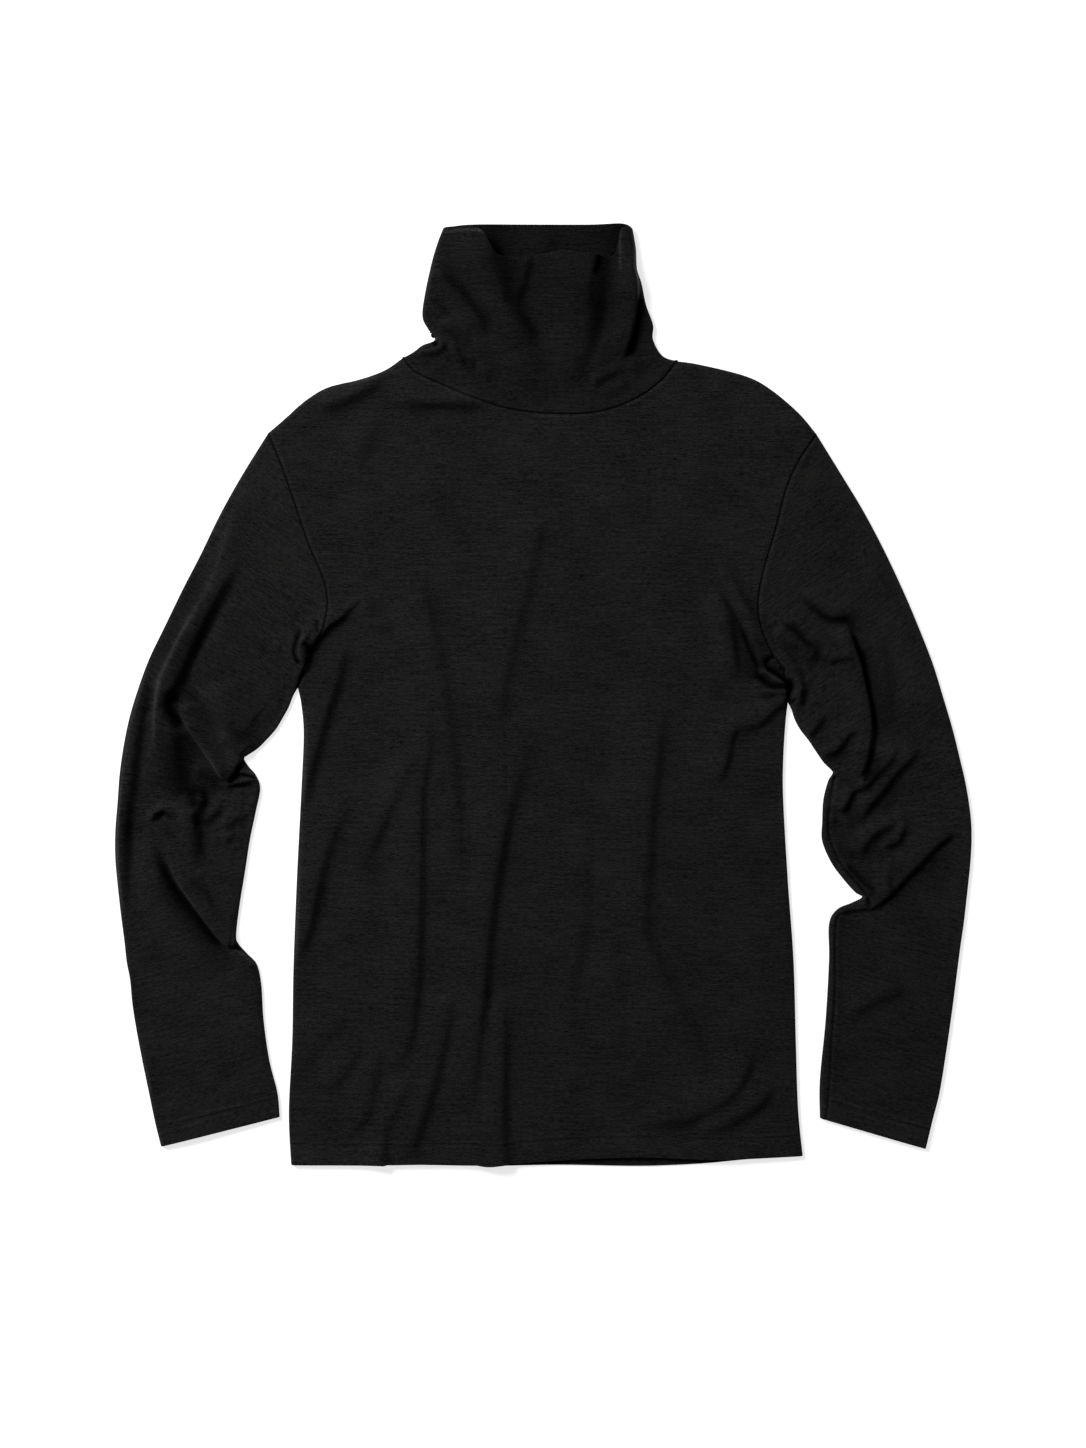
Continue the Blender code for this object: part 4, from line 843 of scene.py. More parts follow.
# %% Swells and crumples
SWELL_SEED, CRUMPLE_SEED = 11, 37
WAVE_COUNT = 18                # in each sum of waves
WAVE_SPREAD = (0.7, 1.5)       # how short and how long each one can be, as a share
SWELLS = [
    # height, wavelength, stretch in x and y
    (1.2, 130, (1, 1.8)), (0.5, 48, (1, 1.5)), (0.10, 17, (1, 1)),
]
CRUMPLE_WAVES = [(1, 26), (0.5, 13)]    # share, wavelength
CRUMPLES = [
    # x, y, radius, height
    (-262, -90, 40, 0.5), (-290, -130, 45, 0.5), (-235, 12, 26, 0.5), (262, -100, 42, 0.5),
    (285, -150, 38, 0.5), (240, 10, 34, 0.5), (205, 5, 26, 0.5), (-205, 35, 20, 0.5),
    (-90, 300, 26, 0.5), (80, 290, 22, 0.5),
]


def waves(xy, wavelength, seed, stretch=(1, 1)):
    """A smooth random surface with heights of about -1 to 1."""
    rng = np.random.default_rng(seed)
    total = np.zeros(xy.shape[:-1])
    for _ in range(WAVE_COUNT):
        angle = rng.uniform(0, 2 * math.pi)
        step = 2 * math.pi / (wavelength * rng.uniform(*WAVE_SPREAD))
        phase = rng.uniform(0, 2 * math.pi)
        direction = np.array([math.cos(angle) / stretch[0], math.sin(angle) / stretch[1]]) * step
        total += np.sin(xy @ direction + phase)
    return total / math.sqrt(WAVE_COUNT / 2) / 2


def swell(xy):
    return sum(height * waves(xy, wavelength, SWELL_SEED + k, stretch)
               for k, (height, wavelength, stretch) in enumerate(SWELLS))


def crumple(xy):
    creased = sum(share * (1 - 2 * np.abs(waves(xy, wavelength, CRUMPLE_SEED + k)))
                  for k, (share, wavelength) in enumerate(CRUMPLE_WAVES))
    total = np.zeros(xy.shape[:-1])
    for x, y, radius, height in CRUMPLES:
        squared = ((xy - [x, y]) ** 2).sum(-1)
        total += height * np.exp(-squared / radius ** 2)
    return total * creased


# %% [markdown]
# Edges, seams and hems all depend on the distance to a line, for tens of thousands of points. A
# KD tree over a finely sampled line answers that quickly.

# %% Distances to edges, seams and hems
SAMPLE = 0.6                   # distance between the samples of a line
SLEEVE_SEAM_STEPS = 240


def distance_tree(outlines):
    samples = np.concatenate([evenly(outline, max(2, int(strides(outline).sum() / SAMPLE)))
                              for outline in outlines])
    tree = KDTree(len(samples))
    for index, (x, y) in enumerate(samples):
        tree.insert((x, y, 0), index)
    tree.balance()
    return tree


def distance_to(tree, xy):
    flat = xy.reshape(-1, 2)
    return np.array([tree.find((x, y, 0))[2] for x, y in flat]).reshape(xy.shape[:-1])


sleeve_overs = [over for over, _, _, _ in sleeve_plans.values()]
turned_edges = [side_left, side_right, shoulder_left, shoulder_right]
for over in (collar_over, *sleeve_overs):
    turned_edges += [over[:, 0], over[:, -1]]
edge_tree = distance_tree(turned_edges)
seam_tree = distance_tree([armhole_left, armhole_right, neck_front])
back_seam_tree = distance_tree([armhole_left, armhole_right, neck_back])
sleeve_seam_tree = distance_tree([smooth_outline(SLEEVE_SEAM, SLEEVE_SEAM_STEPS)])
neck_tree = distance_tree([neck_front])
hem_tree, hem_back_tree = distance_tree([hem_front]), distance_tree([hem_back])
cuff_tree = distance_tree([over[-1] for over in sleeve_overs])
print("lines sampled every", SAMPLE, "mm")

# %% [markdown]
# ## From plan to cloth
#
# The upper layer's height is its loft, plus folds, swells and crumples, shaped by the edge where
# it turns down. Seams are narrow grooves with a slight swelling beside them, from the cloth that
# is turned in. A hem is a little thicker up to its stitches, and each row of stitches sinks in.

# %% The height of the upper layer
SEAM_DEPTH, SEAM_WIDTH = 0.8, 0.8
SEAM_SHADE = 0.66              # painted shade in a seam's groove
SEAM_LIGHT, SEAM_LIGHT_AT, SEAM_LIGHT_WIDTH = 0.2, 2.2, 0.9    # and the painted highlight on the swellings beside it
ALLOWANCE_RISE, ALLOWANCE_AT, ALLOWANCE_WIDTH = 0.4, 3.6, 2.2  # of the cloth turned in
HEM_STEP, STITCH_DEPTH = 0.5, 0.35
HEM_BEYOND, HEM_SLOPE = 1.0, 1.5    # how far past its stitches a hem is doubled, and its slope
HEM_LIGHT = 0.10               # how much lighter the yarn is made where a hem is doubled
HEM_SHADE = 0.30               # painted shade between a hem's two rows of stitches
CALM_REACH = 5.0               # how far in from a turned edge folds and creases start
LEAN_REACH = 14.0              # and how far in a crest can lean over
LOWEST = 1.4                   # how far below its loft a crease can press the cloth
EDGE_LIGHT, EDGE_LIGHT_AT, EDGE_LIGHT_WIDTH = 0.22, 1.8, 1.2   # painted highlight just in from a turned edge


def turn(distance, radius):
    """0 at an edge, 1 a radius away, round in between."""
    return np.sqrt(1 - (1 - np.clip(distance / radius, 0, 1)) ** 2)


def seam_relief(distance):
    groove = SEAM_DEPTH * bell(distance, SEAM_WIDTH)
    return ALLOWANCE_RISE * bell(distance - ALLOWANCE_AT, ALLOWANCE_WIDTH) - groove


def seam_shade(distance):
    """Painted shade in a seam's groove and a faint painted highlight on the swellings beside it.
    """
    beside = SEAM_LIGHT * bell(distance - SEAM_LIGHT_AT, SEAM_LIGHT_WIDTH)
    return SEAM_SHADE * bell(distance, SEAM_WIDTH) - beside


def doubled(distance, rows):
    """1 where a hem's cloth is doubled, 0 beyond its two rows of stitches."""
    return soft_step((rows[1] + HEM_BEYOND - distance) / HEM_SLOPE)


def sunk_rows(distance, rows):
    return sum(STITCH_DEPTH * bell(distance - row, STITCH_WIDTH) for row in rows)


def over_height(xy, loft, hem=None, rows=HEM_ROWS):
    """The upper layer's outer face: its height, sideways push, and painted shade and highlights.
    """
    to_edge = distance_to(edge_tree, xy)
    lifted, pushed, shade = fold_field(xy)
    uneven = lifted + swell(xy) + crumple(xy)
    height = loft + PILLOW * (1 - np.exp(-to_edge / PILLOW_REACH))
    height = height + uneven * soft_step(to_edge / CALM_REACH)
    to_seam, to_sleeve_seam = distance_to(seam_tree, xy), distance_to(sleeve_seam_tree, xy)
    height = height + seam_relief(to_seam) + seam_relief(to_sleeve_seam)
    # Painted shade of creases and seam grooves, painted highlight beside seams and turned edges
    lit = (1 - shade) * (1 - seam_shade(to_seam)) * (1 - seam_shade(to_sleeve_seam))
    lit = lit * (1 + EDGE_LIGHT * bell(to_edge - EDGE_LIGHT_AT, EDGE_LIGHT_WIDTH))
    if hem is not None:
        to_hem = distance_to(hem, xy)
        height = height + (HEM_STEP * doubled(to_hem, rows) - sunk_rows(to_hem, rows))
        lit = lit * (1 + HEM_LIGHT * doubled(to_hem, rows))
        lit = lit * (1 - HEM_SHADE * bell(to_hem - sum(rows) / 2, STITCH_WIDTH))
    height = np.maximum(height, loft - LOWEST)
    inside = turn(to_edge, EDGE_RADIUS)
    clear_of_edge = soft_step(to_edge / LEAN_REACH)[..., None]
    return EDGE_HEIGHT + (height - EDGE_HEIGHT) * inside, pushed * clear_of_edge, 1 - lit


def collar_loft(xy):
    gained = soft_step(distance_to(neck_tree, xy) / COLLAR_RISE_LENGTH)
    return COLLAR_LOFT_AT_NECK + (COLLAR_LOFT_AT_RIM - COLLAR_LOFT_AT_NECK) * gained


# %% [markdown]
# The lower layer rests on the table. It is flat apart from a few low waves and creases, which are
# like those on top, and it turns up to the edge line at the sides.

# %% The height of the lower layer
UNDER_WAVES = [
    # start, middle, end, rise, reach sideways
    ((-120, 160), (-100, 20), (-130, -120), 1.2, 30),
    ((60, 120), (90, -40), (70, -220), 1.0, 34),
    ((-60, -150), (-40, -260), (-70, -360), 1.1, 28),
    ((150, -200), (140, -280), (160, -370), 0.9, 26),
    ((-310, 60), (-320, -30), (-325, -120), 0.8, 24),
    ((-300, -250), (-296, -300), (-290, -350), 0.7, 20),
    ((300, 60), (310, -20), (318, -100), 0.9, 24),
    ((305, -260), (300, -300), (292, -345), 0.7, 20),
]
UNDER_CREASES = [dict(zip(CREASE_COLUMNS, row)) for row in [
    # The back
    (((-70, 60), (-60, -40), (-66, -150), (-80, -230)), .5, 3, 7, .4, .3, .4),
    (((30, 40), (48, -60), (60, -160), (58, -260)), .4, 3, 7, .35, .4, .3),
    (((120, -90), (112, -190), (128, -300)), .4, 3, 6, .3, .3, .3),
    (((-150, -60), (-172, -150), (-190, -230)), .4, 2.5, 5, .35, .3, .3),
    (((-30, -250), (-42, -330), (-50, -405)), .4, 2.5, 5, .35, .3, 0),
    (((95, -300), (88, -360), (92, -408)), .4, 2.5, 6, .3, .3, 0),
    (((-208, 38), (-184, 55), (-150, 50)), .5, 2, 4, .5, .1, .4),
    (((208, 28), (178, 40), (146, 28)), .5, 2, 4, .5, .1, .4),
    (((-70, 258), (-20, 250), (40, 255)), .3, 3, 6, .25, .3, .4),
    # The undersides of the sleeves
    (((-264, -60), (-290, -48), (-322, -26)), .5, 2, 4.5, .55, 0, .4),
    (((-262, -112), (-285, -130), (-314, -152)), .4, 2, 4, .4, .2, .4),
    (((-270, -218), (-290, -194), (-318, -168)), .5, 2, 4.5, .55, 0, .4),
    (((-330, 60), (-338, 10), (-346, -60)), .3, 3, 7, .3, .4, .4),
    (((252, -72), (280, -60), (312, -38)), .5, 2, 4.5, .5, 0, .4),
    (((250, -104), (276, -108), (302, -98)), .4, 2, 4, .4, .1, .4),
    (((280, -180), (304, -164), (336, -132)), .5, 2, 4.5, .55, 0, .4),
    (((300, 90), (318, 30), (326, -30)), .3, 3, 7, .3, .4, .4),
    # The back of the collar
    (((-78, 398), (-60, 362), (-66, 326)), .4, 3, 6, .4, .1, .4),
    (((8, 405), (2, 362), (10, 318)), .3, 3, 7, .3, .1, .4),
    (((64, 392), (52, 352), (62, 314)), .4, 3, 6, .4, .2, .3),
]]
UNDER_SEAM = 0.7               # how far a seam draws the lower layer up from the table


def under_rise(xy):
    points = xy.reshape(-1, 2)
    total = np.zeros(len(points))
    for start, middle, end, rise, reach in UNDER_WAVES:
        offset, share, _ = beside_path(points, smooth_path((start, middle, end)))
        closeness = np.clip(1 - (offset / reach) ** 2, 0, 1)
        total += rise * closeness ** 2 * soft_step(4 * share * (1 - share))
    return total.reshape(xy.shape[:-1])


def under_height(xy, edge_height, hem=None, rows=HEM_ROWS):
    """The height and the painted shade of the lower layer's outer face, which lies on the table.
    """
    to_seam, to_sleeve_seam = distance_to(back_seam_tree, xy), distance_to(sleeve_seam_tree, xy)
    depth, lit = crease_field(xy, UNDER_CREASES)
    height = under_rise(xy) + depth + UNDER_SEAM * bell(to_seam, SEAM_WIDTH)
    height = height + UNDER_SEAM * bell(to_sleeve_seam, SEAM_WIDTH)
    shade = 1 - lit * (1 - seam_shade(to_seam)) * (1 - seam_shade(to_sleeve_seam))
    if hem is not None:
        height = height + sunk_rows(distance_to(hem, xy), rows)
    inside = turn(distance_to(edge_tree, xy), EDGE_RADIUS)
    return edge_height + (height - edge_height) * inside, shade


# %% [markdown]
# A wall of cloth is an outer grid, an inner grid set back by the thickness, and a round rim where
# the cloth is folded. Solidify could add the thickness, but the hem is thicker than the rest and
# the seams stay plain, which is simpler to work out here in the same arrays.

# %% Building a wall of cloth
RIM_STEPS = 4
WRONG_WAY = -0.2               # a normal that points this far into the cloth is turned round


def add_object(name, data):
    added = bpy.data.objects.new(name, data)
    bpy.context.scene.collection.objects.link(added)
    return added


def with_height(xy, height):
    return np.concatenate([xy, height[..., None]], axis=-1)


def grid_normals(grid, ring):
    """Unit normals of a grid of points, across a closed ring where it is one."""
    if ring:
        across = np.roll(grid, -1, axis=1) - np.roll(grid, 1, axis=1)
    else:
        across = np.gradient(grid, axis=1)
    return unit(np.cross(across, np.gradient(grid, axis=0)))


def round_rim(outer, inner, beyond):
    """Rows that turn round from the end of the outer grid to the end of the inner one."""
    centre, half = (outer + inner) / 2, (outer - inner) / 2
    radius = np.linalg.norm(half, axis=-1, keepdims=True)
    angles = [math.pi * k / (RIM_STEPS + 1) for k in range(1, RIM_STEPS + 1)]
    return [centre + half * math.cos(a) + unit(beyond) * radius * math.sin(a) for a in angles]


def outward(normals, upper):
    """Turns the normals out of the cloth: up on the first columns, down on the others."""
    up = np.where(np.arange(normals.shape[1]) < upper, 1, -1)
    normals = normals * np.sign((normals[..., 2] * up).mean())
    wrong = normals[..., 2] * up < WRONG_WAY
    return np.where(wrong[..., None], -normals, normals)


def cloth_wall(name, outer, wall, weave, ring, upper, shade, hidden=None,
               round_start=False, round_end=False):
    """A closed mesh: the outer grid, the grid inside it, and the rims between their ends."""
    inner_weave = with_height(weave, shade if hidden is None else hidden)
    weave = with_height(weave, shade)
    normals = outward(grid_normals(outer, ring), upper)
    inner = outer - normals * np.broadcast_to(wall, outer.shape[:2])[..., None]
    start = round_rim(outer[0], inner[0], outer[0] - outer[1]) if round_start else []
    end = round_rim(outer[-1], inner[-1], outer[-1] - outer[-2]) if round_end else []
    loop = np.concatenate([outer, *[row[None] for row in end], inner[::-1],
                           *[row[None] for row in reversed(start)]])
    rows, columns = loop.shape[:2]
    weave_rows = np.concatenate([weave] + [weave[-1:]] * len(end) + [inner_weave[::-1]]
                                + [weave[:1]] * len(start))
    index = np.arange(rows * columns).reshape(rows, columns)
    quads = quad_faces(index, ring)
    if not ring:
        quads += side_faces(index, len(outer), len(end), len(inner))
    mesh = bpy.data.meshes.new(name)
    mesh.from_pydata((loop.reshape(-1, 3) * MM).tolist(), [], quads)
    mesh.validate()
    if signed_volume(mesh) < 0:
        mesh.flip_normals()
    add_weave(mesh, weave_rows.reshape(-1, 3))
    mesh.shade_smooth()
    print("%-18s %6d faces" % (name, len(mesh.polygons)))
    return add_object(name, mesh)


def quad_faces(index, ring):
    """Quads of a grid whose last row joins its first one, and its last column too in a ring."""
    below = np.roll(index, -1, axis=0)
    if ring:
        beside, diagonal = np.roll(index, -1, axis=1), np.roll(below, -1, axis=1)
        faces = np.stack([index, beside, diagonal, below], axis=-1)
    else:
        faces = np.stack([index[:, :-1], index[:, 1:], below[:, 1:], below[:, :-1]], axis=-1)
    return faces.reshape(-1, 4).tolist()


def side_faces(index, outer_rows, end_rows, inner_rows):
    """Faces that close the two long sides between the outer and the inner grid."""
    faces = []
    last_inner = outer_rows + end_rows + inner_rows - 1
    for column, flip in ((0, False), (-1, True)):
        strip = []
        for row in range(outer_rows - 1):
            twin = last_inner - row
            strip.append([index[row, column], index[row + 1, column],
                          index[twin - 1, column], index[twin, column]])
        rim_end = list(range(outer_rows - 1, outer_rows + end_rows + 1))
        rim_start = list(range(last_inner, len(index))) + [0]
        for rim in (rim_end, rim_start):
            if len(rim) > 2:
                strip.append([index[row, column] for row in rim])
        faces += [[int(v) for v in (face[::-1] if flip else face)] for face in strip]
    return faces


def signed_volume(mesh):
    corners = np.zeros(len(mesh.vertices) * 3)
    mesh.vertices.foreach_get("co", corners)
    corners = corners.reshape(-1, 3)
    mesh.calc_loop_triangles()
    triangles = np.zeros(len(mesh.loop_triangles) * 3, dtype=np.int32)
    mesh.loop_triangles.foreach_get("vertices", triangles)
    a, b, c = corners[triangles.reshape(-1, 3)].transpose(1, 0, 2)
    return float(np.einsum("ij,ij->i", a, np.cross(b, c)).sum() / 6)


def add_weave(mesh, weave):
    """Stores each point's flat place in millimetres, and its painted shade or painted highlight.
    """
    flat = (weave * [1, 1, 0]).astype(np.float32)
    mesh.attributes.new("weave", "FLOAT_VECTOR", "POINT").data.foreach_set("vector", flat.ravel())
    lit = (1 - weave[:, 2]).astype(np.float32)
    mesh.attributes.new("lit", "FLOAT", "POINT").data.foreach_set("value", lit)


# %% [markdown]
# ## The front
#
# The front is the piece that shows most. Its own folds run mostly downwards, with the deepest
# ones between the left side and the middle. The hem is rounded and thicker, the armholes and the
# neckline are plain cut edges inside the seams.

# %% Make the front
HEM_EXTRA = 0.8                # how much thicker a wall is where its hem is doubled
THICKEST = 1.5                 # of the back and the tubes, whose layers are close at the edges


def hem_wall(distance, rows, cloth=CLOTH):
    """The wall's thickness: doubled up to the stitches."""
    return cloth + HEM_EXTRA * doubled(distance, rows)


front_height, front_push, front_shade = over_height(front_plan, LOFT, hem_tree)
side_rows = body_up <= SIDE_STEPS / BODY_STEPS
for column in (0, -1):
    front_height[side_rows, column] = EDGE_HEIGHT + SEAM_GAP / 2
front_outer = with_height(front_plan + front_push, front_height)
front_wall = hem_wall(distance_to(hem_tree, front_plan), HEM_ROWS)
front = cloth_wall("front_cloth", front_outer, front_wall, front_plan, ring=False,
                   upper=front_plan.shape[1], shade=front_shade, round_start=True)

# %% [markdown]
# ## The back
#
# The back lies on the table and turns up at the sides to meet the front. Its hem peeps out a few
# millimetres below the front's hem on the right.

# %% Make the back
back_height, back_shade = under_height(back_plan, EDGE_HEIGHT - SEAM_GAP, hem_back_tree)
back_wall = np.minimum(hem_wall(distance_to(hem_back_tree, back_plan), HEM_ROWS), THICKEST)
back = cloth_wall("back_cloth", with_height(back_plan, back_height), back_wall,
                  back_plan + [WEAVE_SHIFT, 0], ring=False, upper=0, shade=back_shade,
                  round_start=True)

# %% [markdown]
# ## The sleeves
#
# Both sleeves are bent, and the cloth bunches on the inside of each elbow. The sharpest folds
# lean over by a millimetre or so, which steepens their shaded sides.

# %% Make the sleeves
TUCK, TUCK_DROP = 1.2, 1.2     # how far a tube goes in under its neighbour at the seam


def tucked_ring(outer):
    """One more ring before the first, in under the neighbour, so no light passes the seam."""
    beyond = (outer[0] - outer[1]) * [1, 1, 0]
    ring = outer[0] + unit(beyond) * TUCK
    to_middle = EDGE_HEIGHT - ring[:, 2]
    ring[:, 2] += np.clip(to_middle, -TUCK_DROP, TUCK_DROP)
    return ring[None]


def first_twice(rings):
    return np.concatenate([rings[:1], rings])


def tube(name, plan, loft, wall, hem=None, darker_by=0, inside=None, round_end=False):
    over, under, over_weave, under_weave = plan
    over_z, push, over_shade = over_height(over, loft, hem, CUFF_ROWS)
    over_z[:, [0, -1]] = EDGE_HEIGHT
    under_z, under_shade = under_height(under, EDGE_HEIGHT, hem, CUFF_ROWS)
    shade = 1 - (1 - np.concatenate([over_shade, under_shade], axis=1)) * (1 - darker_by)
    outer = np.concatenate([with_height(over + push, over_z), with_height(under, under_z)], axis=1)
    weave = np.concatenate([over_weave, under_weave], axis=1)
    flat = np.concatenate([over, under], axis=1)
    if hem is not None:
        wall = first_twice(np.minimum(hem_wall(distance_to(hem, flat), CUFF_ROWS, wall), THICKEST))
    outer = np.concatenate([tucked_ring(outer), outer])
    # The inner faces also take the painted shade of the collar's inside
    hidden = 1 - (1 - shade) * (1 - inside(flat)) if inside else shade
    weave, shade, hidden = first_twice(weave), first_twice(shade), first_twice(hidden)
    return cloth_wall(name, outer, wall, weave, ring=True, upper=over.shape[1], shade=shade,
                      hidden=hidden, round_end=round_end)


sleeve_cloths = {side: tube(side + "_cloth", plan, LOFT, CLOTH, cuff_tree, round_end=True)
                 for side, plan in sleeve_plans.items()}

# %% [markdown]
# ## The collar
#
# The collar is doubled cloth, folded over at the rim, so its rim is round and has no stitches.
# It stands up most at its left lobe and in the two strips on its right.

# %% Make the collar
COLLAR_SHADE = 0.20            # how much darker the collar's yarn is made all over
INSIDE_SHADE = 0.28            # painted shade on the collar's inside, which its front layer shades, most of all in its two corners
INSIDE_CORNERS = [(-46, 15, 0.45), (64, 9, 0.4)]    # x, reach, painted shade


# Painted shade inside the collar, darkest in its two corners
def inside_collar(xy):
    lit = (1 - INSIDE_SHADE) * np.ones(xy.shape[:-1])
    for x, reach, dark in INSIDE_CORNERS:
        lit = lit * (1 - dark * np.exp(-((xy[..., 0] - x) / reach) ** 2))
    return 1 - lit


collar = tube("collar_cloth", (collar_over, collar_under, collar_over,
                               collar_under + [WEAVE_SHIFT, 0]),
              collar_loft(collar_over), COLLAR_CLOTH, darker_by=COLLAR_SHADE, inside=inside_collar,
              round_end=True)

# %% [markdown]
# ## Stitches
#
# A twin needle leaves two rows of short stitches along the hem and the cuffs. Each stitch is a
# thread that starts and ends in a point, and all the threads of a piece are one mesh.

# %% Make the stitches
STITCH_PITCH, STITCH_HALF_LENGTH, STITCH_HALF_WIDTH = 2.6, 0.85, 0.24
STITCH_LIGHT = 1.5             # the thread is a little lighter than the cloth
EDGE_SPANS = 60                # of the coarser edge that a row of stitches follows
UP_THE_SLEEVE = (-20, 40)      # a grid point that tells on which side of a cuff its rows lie
THREAD_LIFT = 0.5              # how far a thread's middle lies above the cloth, in half widths
UNDER_LOWEST, UNDER_INSET = 0.3, 0.04    # underneath, threads stay clear of the table
THREAD = np.array([(-1, 0, 0), (-0.6, 1, 0), (-0.6, 0, 1), (-0.6, -1, 0), (-0.6, 0, -1),
                   (0.6, 1, 0), (0.6, 0, 1), (0.6, -1, 0), (0.6, 0, -1), (1, 0, 0)])
THREAD_FACES = ([[0, 1 + (k + 1) % 4, 1 + k] for k in range(4)]
                + [[1 + k, 1 + (k + 1) % 4, 5 + (k + 1) % 4, 5 + k] for k in range(4)]
                + [[9, 5 + k, 5 + (k + 1) % 4] for k in range(4)])


def stitch_row(edge, towards, distance):
    """The middles of the stitches of one row, and their directions."""
    line = moved_off(evenly(edge, EDGE_SPANS), towards, distance)
    line = evenly(line, round(strides(line).sum() / STITCH_PITCH))[1:-1]
    return (line[:-1] + line[1:]) / 2, unit(np.diff(line, axis=0))


def make_stitches(name, layers):
    """One mesh of threads. Each layer is its rows of stitches and a function for their height."""
    threads = []
    for rows, height in layers:
        for middles, ahead in rows:
            aside = np.stack([-ahead[:, 1], ahead[:, 0]], axis=1)
            along_row = THREAD[:, 0, None] * ahead[:, None] * STITCH_HALF_LENGTH
            across_row = THREAD[:, 1, None] * aside[:, None] * STITCH_HALF_WIDTH
            lifted = height(middles)[:, None] + THREAD[:, 2] * STITCH_HALF_WIDTH
            threads.append(with_height(middles[:, None] + along_row + across_row, lifted))
    points = np.concatenate(threads)
    faces = [[len(THREAD) * k + corner for corner in face]
             for k in range(len(points)) for face in THREAD_FACES]
    points = points.reshape(-1, 3)
    mesh = bpy.data.meshes.new(name)
    mesh.from_pydata((points * MM).tolist(), [], faces)
    add_weave(mesh, np.concatenate([points[:, :2], np.full((len(points), 1), 1 - STITCH_LIGHT)],
                                   axis=1))
    return add_object(name, mesh)


def on_top(tree, rows):
    return lambda xy: over_height(xy, LOFT, tree, rows)[0] + THREAD_LIFT * STITCH_HALF_WIDTH


def underneath(tree, rows):
    return lambda xy: np.maximum(under_height(xy, EDGE_HEIGHT, tree, rows)[0],
                                 UNDER_LOWEST) - UNDER_INSET


hem_middle = neck_front[NECK_STEPS // 2]
hem_rows = [stitch_row(hem_front, hem_middle, row) for row in HEM_ROWS]
hem_back_rows = [stitch_row(hem_back, hem_middle, row) for row in HEM_ROWS]
stitches = {
    "front": make_stitches("front_stitches", [(hem_rows, on_top(hem_tree, HEM_ROWS))]),
    "back": make_stitches("back_stitches", [(hem_back_rows, underneath(hem_back_tree, HEM_ROWS))])}
for side, (over, _, _, _) in sleeve_plans.items():
    rows = [stitch_row(over[-1], over[UP_THE_SLEEVE], row) for row in CUFF_ROWS]
    stitches[side] = make_stitches(side + "_stitches", [(rows, on_top(cuff_tree, CUFF_ROWS)),
                                                        (rows, underneath(cuff_tree, CUFF_ROWS))])
print("stitches:", sum(len(piece.data.vertices) // len(THREAD) for piece in stitches.values()))

# %% [markdown]
# ## Black heathered jersey
#
# Black cloth is a very dark grey. What makes it read as jersey is the yarn: short streaks of
# slightly lighter and darker fibre that run along the rows of stitches. They follow the cloth's
# own flat coordinates, so they turn with the sleeves. A little sheen lifts the edges.

# %% The jersey material
YARN_DARK = (0.0002, 0.0002, 0.0002, 1.0)
YARN_LIGHT = (0.0156, 0.0153, 0.0150, 1.0)
GLOSS, SHEEN = 0.08, 0.04
ROUGHNESS, SHEEN_ROUGHNESS = 0.95, 0.45
STREAKS = [
    # length, height, detail, share in the blend with the rows before it
    (4.5, 1.0, 3.0, 1.0), (1.6, 0.8, 2.0, 0.45), (20.0, 2.4, 2.0, 0.22), (50.0, 32.0, 1.0, 0.10),
]
DARK_AT, LIGHT_AT = 0.385, 0.645    # where in the blended noise the yarn is darkest and lightest
BUMP_STRENGTH, BUMP_HEIGHT = 0.35, 0.25


def set_inputs(node, **values):
    """Sets a node's inputs. A space in an input's name is written as an underscore."""
    for name, value in values.items():
        node.inputs[name.replace("_", " ")].default_value = value


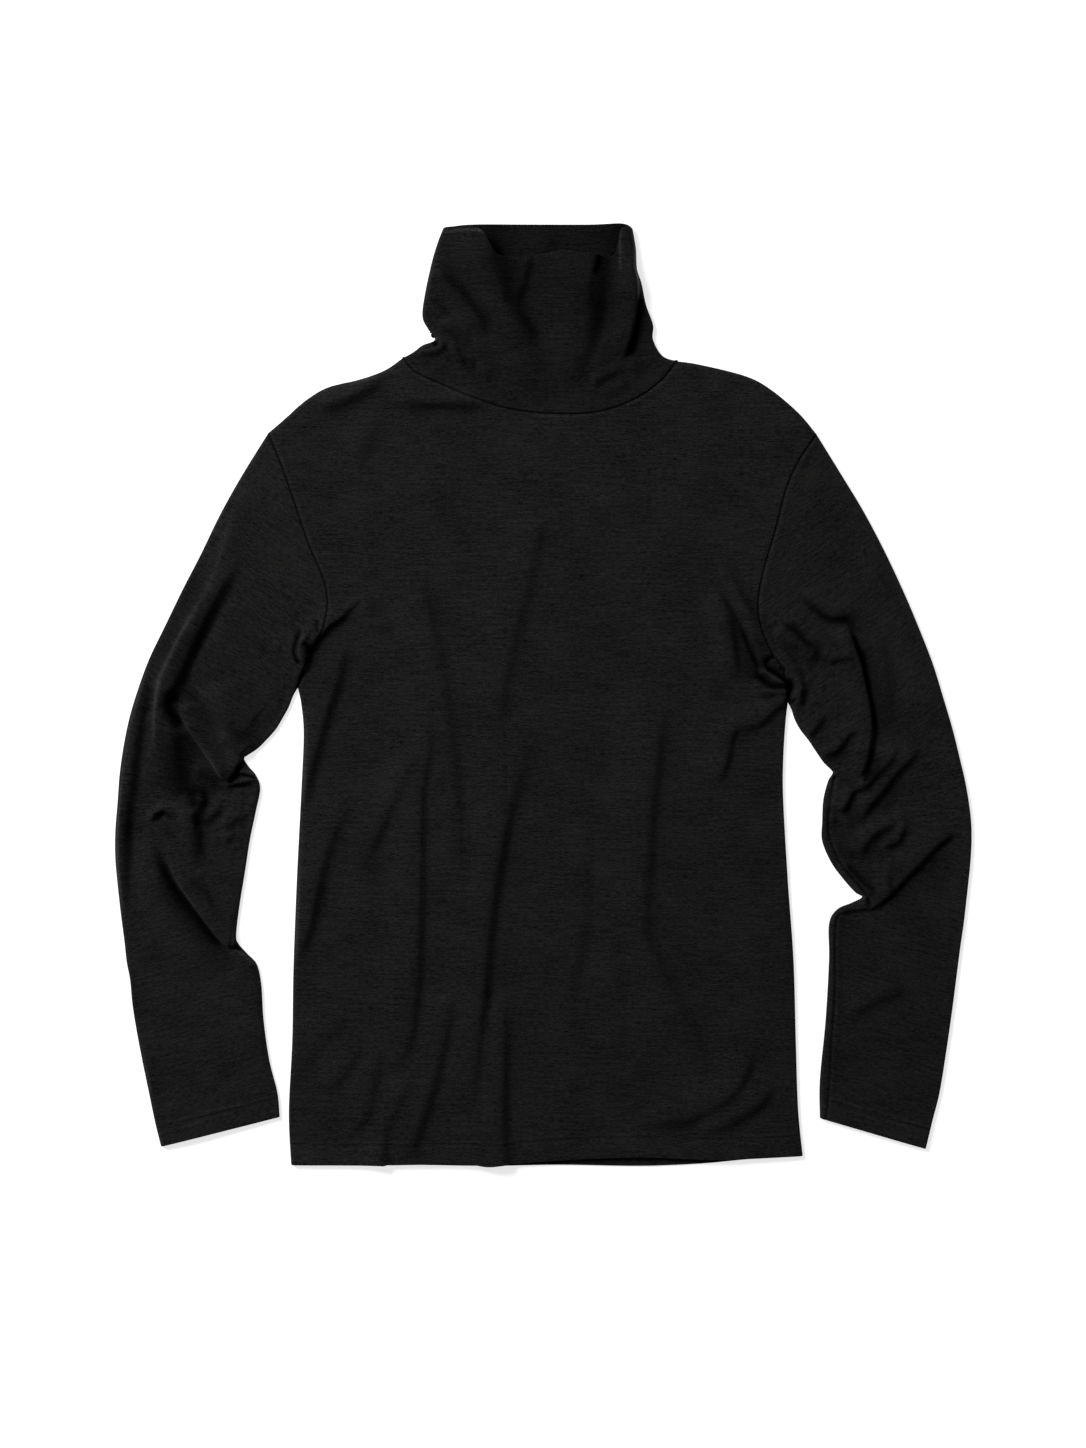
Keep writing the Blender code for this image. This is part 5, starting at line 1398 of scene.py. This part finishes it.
def jersey_material():
    material = bpy.data.materials.new("black_heathered_jersey")
    material.use_nodes = True
    nodes, links = material.node_tree.nodes, material.node_tree.links
    shader = nodes["Principled BSDF"]
    set_inputs(shader, Roughness=ROUGHNESS, Sheen_Roughness=SHEEN_ROUGHNESS)
    weave = nodes.new("ShaderNodeAttribute")
    weave.attribute_name = "weave"

    def streaks(length, height, detail):
        scaled = nodes.new("ShaderNodeMapping")
        set_inputs(scaled, Scale=(1 / length, 1 / height, 1))
        noise = nodes.new("ShaderNodeTexNoise")
        set_inputs(noise, Scale=1.0, Detail=detail)
        links.new(weave.outputs["Vector"], scaled.inputs["Vector"])
        links.new(scaled.outputs["Vector"], noise.inputs["Vector"])
        return noise.outputs["Fac"]

    def blend(a, b, share):
        mixed = nodes.new("ShaderNodeMix")
        set_inputs(mixed, Factor=share)
        links.new(a, mixed.inputs["A"])
        links.new(b, mixed.inputs["B"])
        return mixed.outputs["Result"]

    yarn = None
    for *size, share in STREAKS:
        yarn = blend(yarn, streaks(*size), share) if yarn else streaks(*size)
    contrast = nodes.new("ShaderNodeMapRange")
    set_inputs(contrast, From_Min=DARK_AT, From_Max=LIGHT_AT)
    links.new(yarn, contrast.inputs["Value"])
    colour = nodes.new("ShaderNodeMix")
    colour.data_type = "RGBA"
    set_inputs(colour, A=YARN_DARK, B=YARN_LIGHT)
    links.new(contrast.outputs["Result"], colour.inputs["Factor"])
    # The painted shade and highlights in "lit" scale the yarn's colour, its gloss and its sheen
    lit = nodes.new("ShaderNodeAttribute")
    lit.attribute_name = "lit"
    shaded = nodes.new("ShaderNodeVectorMath")
    shaded.operation = "SCALE"
    links.new(colour.outputs["Result"], shaded.inputs[0])
    links.new(lit.outputs["Fac"], shaded.inputs["Scale"])
    links.new(shaded.outputs["Vector"], shader.inputs["Base Color"])
    for name, value in (("Specular IOR Level", GLOSS), ("Sheen Weight", SHEEN)):
        dimmed = nodes.new("ShaderNodeMath")
        dimmed.operation = "MULTIPLY"
        dimmed.inputs[1].default_value = value
        links.new(lit.outputs["Fac"], dimmed.inputs[0])
        links.new(dimmed.outputs["Value"], shader.inputs[name])
    bump = nodes.new("ShaderNodeBump")
    set_inputs(bump, Strength=BUMP_STRENGTH, Distance=BUMP_HEIGHT * MM)
    links.new(yarn, bump.inputs["Height"])
    links.new(bump.outputs["Normal"], shader.inputs["Normal"])
    return material


jersey = jersey_material()
dressed = {"front": front, "back": back, "collar": collar, **sleeve_cloths}
for piece in [*dressed.values(), *stitches.values()]:
    piece.data.materials.append(jersey)
    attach(piece, "root")
for node, piece in dressed.items():
    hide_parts(node)

# %% [markdown]
# ## Floor, light and camera
#
# The sweater is seen from straight above on a white table. A wide, soft lamp at the upper left
# models the folds, and a faint, even sky fills the shade.

# %% Floor, light and camera
FLOOR_SIZE, FLOOR_DROP = 12, 0.0002      # in metres, with the floor just below the cloth
FLOOR_GREY, FLOOR_GLOW = 0.5, 0.72       # together they give an even white
KEY_PLACE, KEY_SIZE, KEY_POWER = (-2.12, 1.77, 2.16), 1.5, 181.0
SKY = 0.15
VIEW_WIDTH = 950.25            # the width of table in view
VIEW_CENTRE = (-0.4, -25.6)
LENS, SENSOR = 100.0, 36.0
CLIP_END = 50
WHITE = (1, 1, 1, 1)


def add_floor():
    bpy.ops.mesh.primitive_plane_add(size=FLOOR_SIZE, location=(0, 0, -FLOOR_DROP))
    floor = bpy.context.object
    floor.name = "floor"
    white = bpy.data.materials.new("white_table")
    white.use_nodes = True
    set_inputs(white.node_tree.nodes["Principled BSDF"],
               Base_Color=(FLOOR_GREY, FLOOR_GREY, FLOOR_GREY, 1), Emission_Color=WHITE,
               Emission_Strength=FLOOR_GLOW, Roughness=0.9, Specular_IOR_Level=0.1)
    floor.data.materials.append(white)


def add_light():
    softbox = bpy.data.lights.new("key", "AREA")
    softbox.shape = "DISK"
    softbox.size = KEY_SIZE
    softbox.energy = KEY_POWER
    key = add_object("key", softbox)
    key.location = KEY_PLACE
    key.rotation_euler = (-Vector(KEY_PLACE)).to_track_quat("-Z", "Y").to_euler()
    world = bpy.data.worlds.new("studio")
    world.use_nodes = True
    set_inputs(world.node_tree.nodes["Background"], Color=WHITE, Strength=SKY)
    bpy.context.scene.world = world


def add_camera():
    data = bpy.data.cameras.new("overhead")
    data.sensor_fit = "HORIZONTAL"
    data.sensor_width = SENSOR
    data.lens = LENS
    data.clip_end = CLIP_END
    camera = add_object("overhead", data)
    height = VIEW_WIDTH * LENS / SENSOR + LOFT
    camera.location = (VIEW_CENTRE[0] * MM, VIEW_CENTRE[1] * MM, height * MM)
    bpy.context.scene.camera = camera


add_floor()
add_light()
add_camera()
bpy.context.scene.view_settings.view_transform = "Standard"
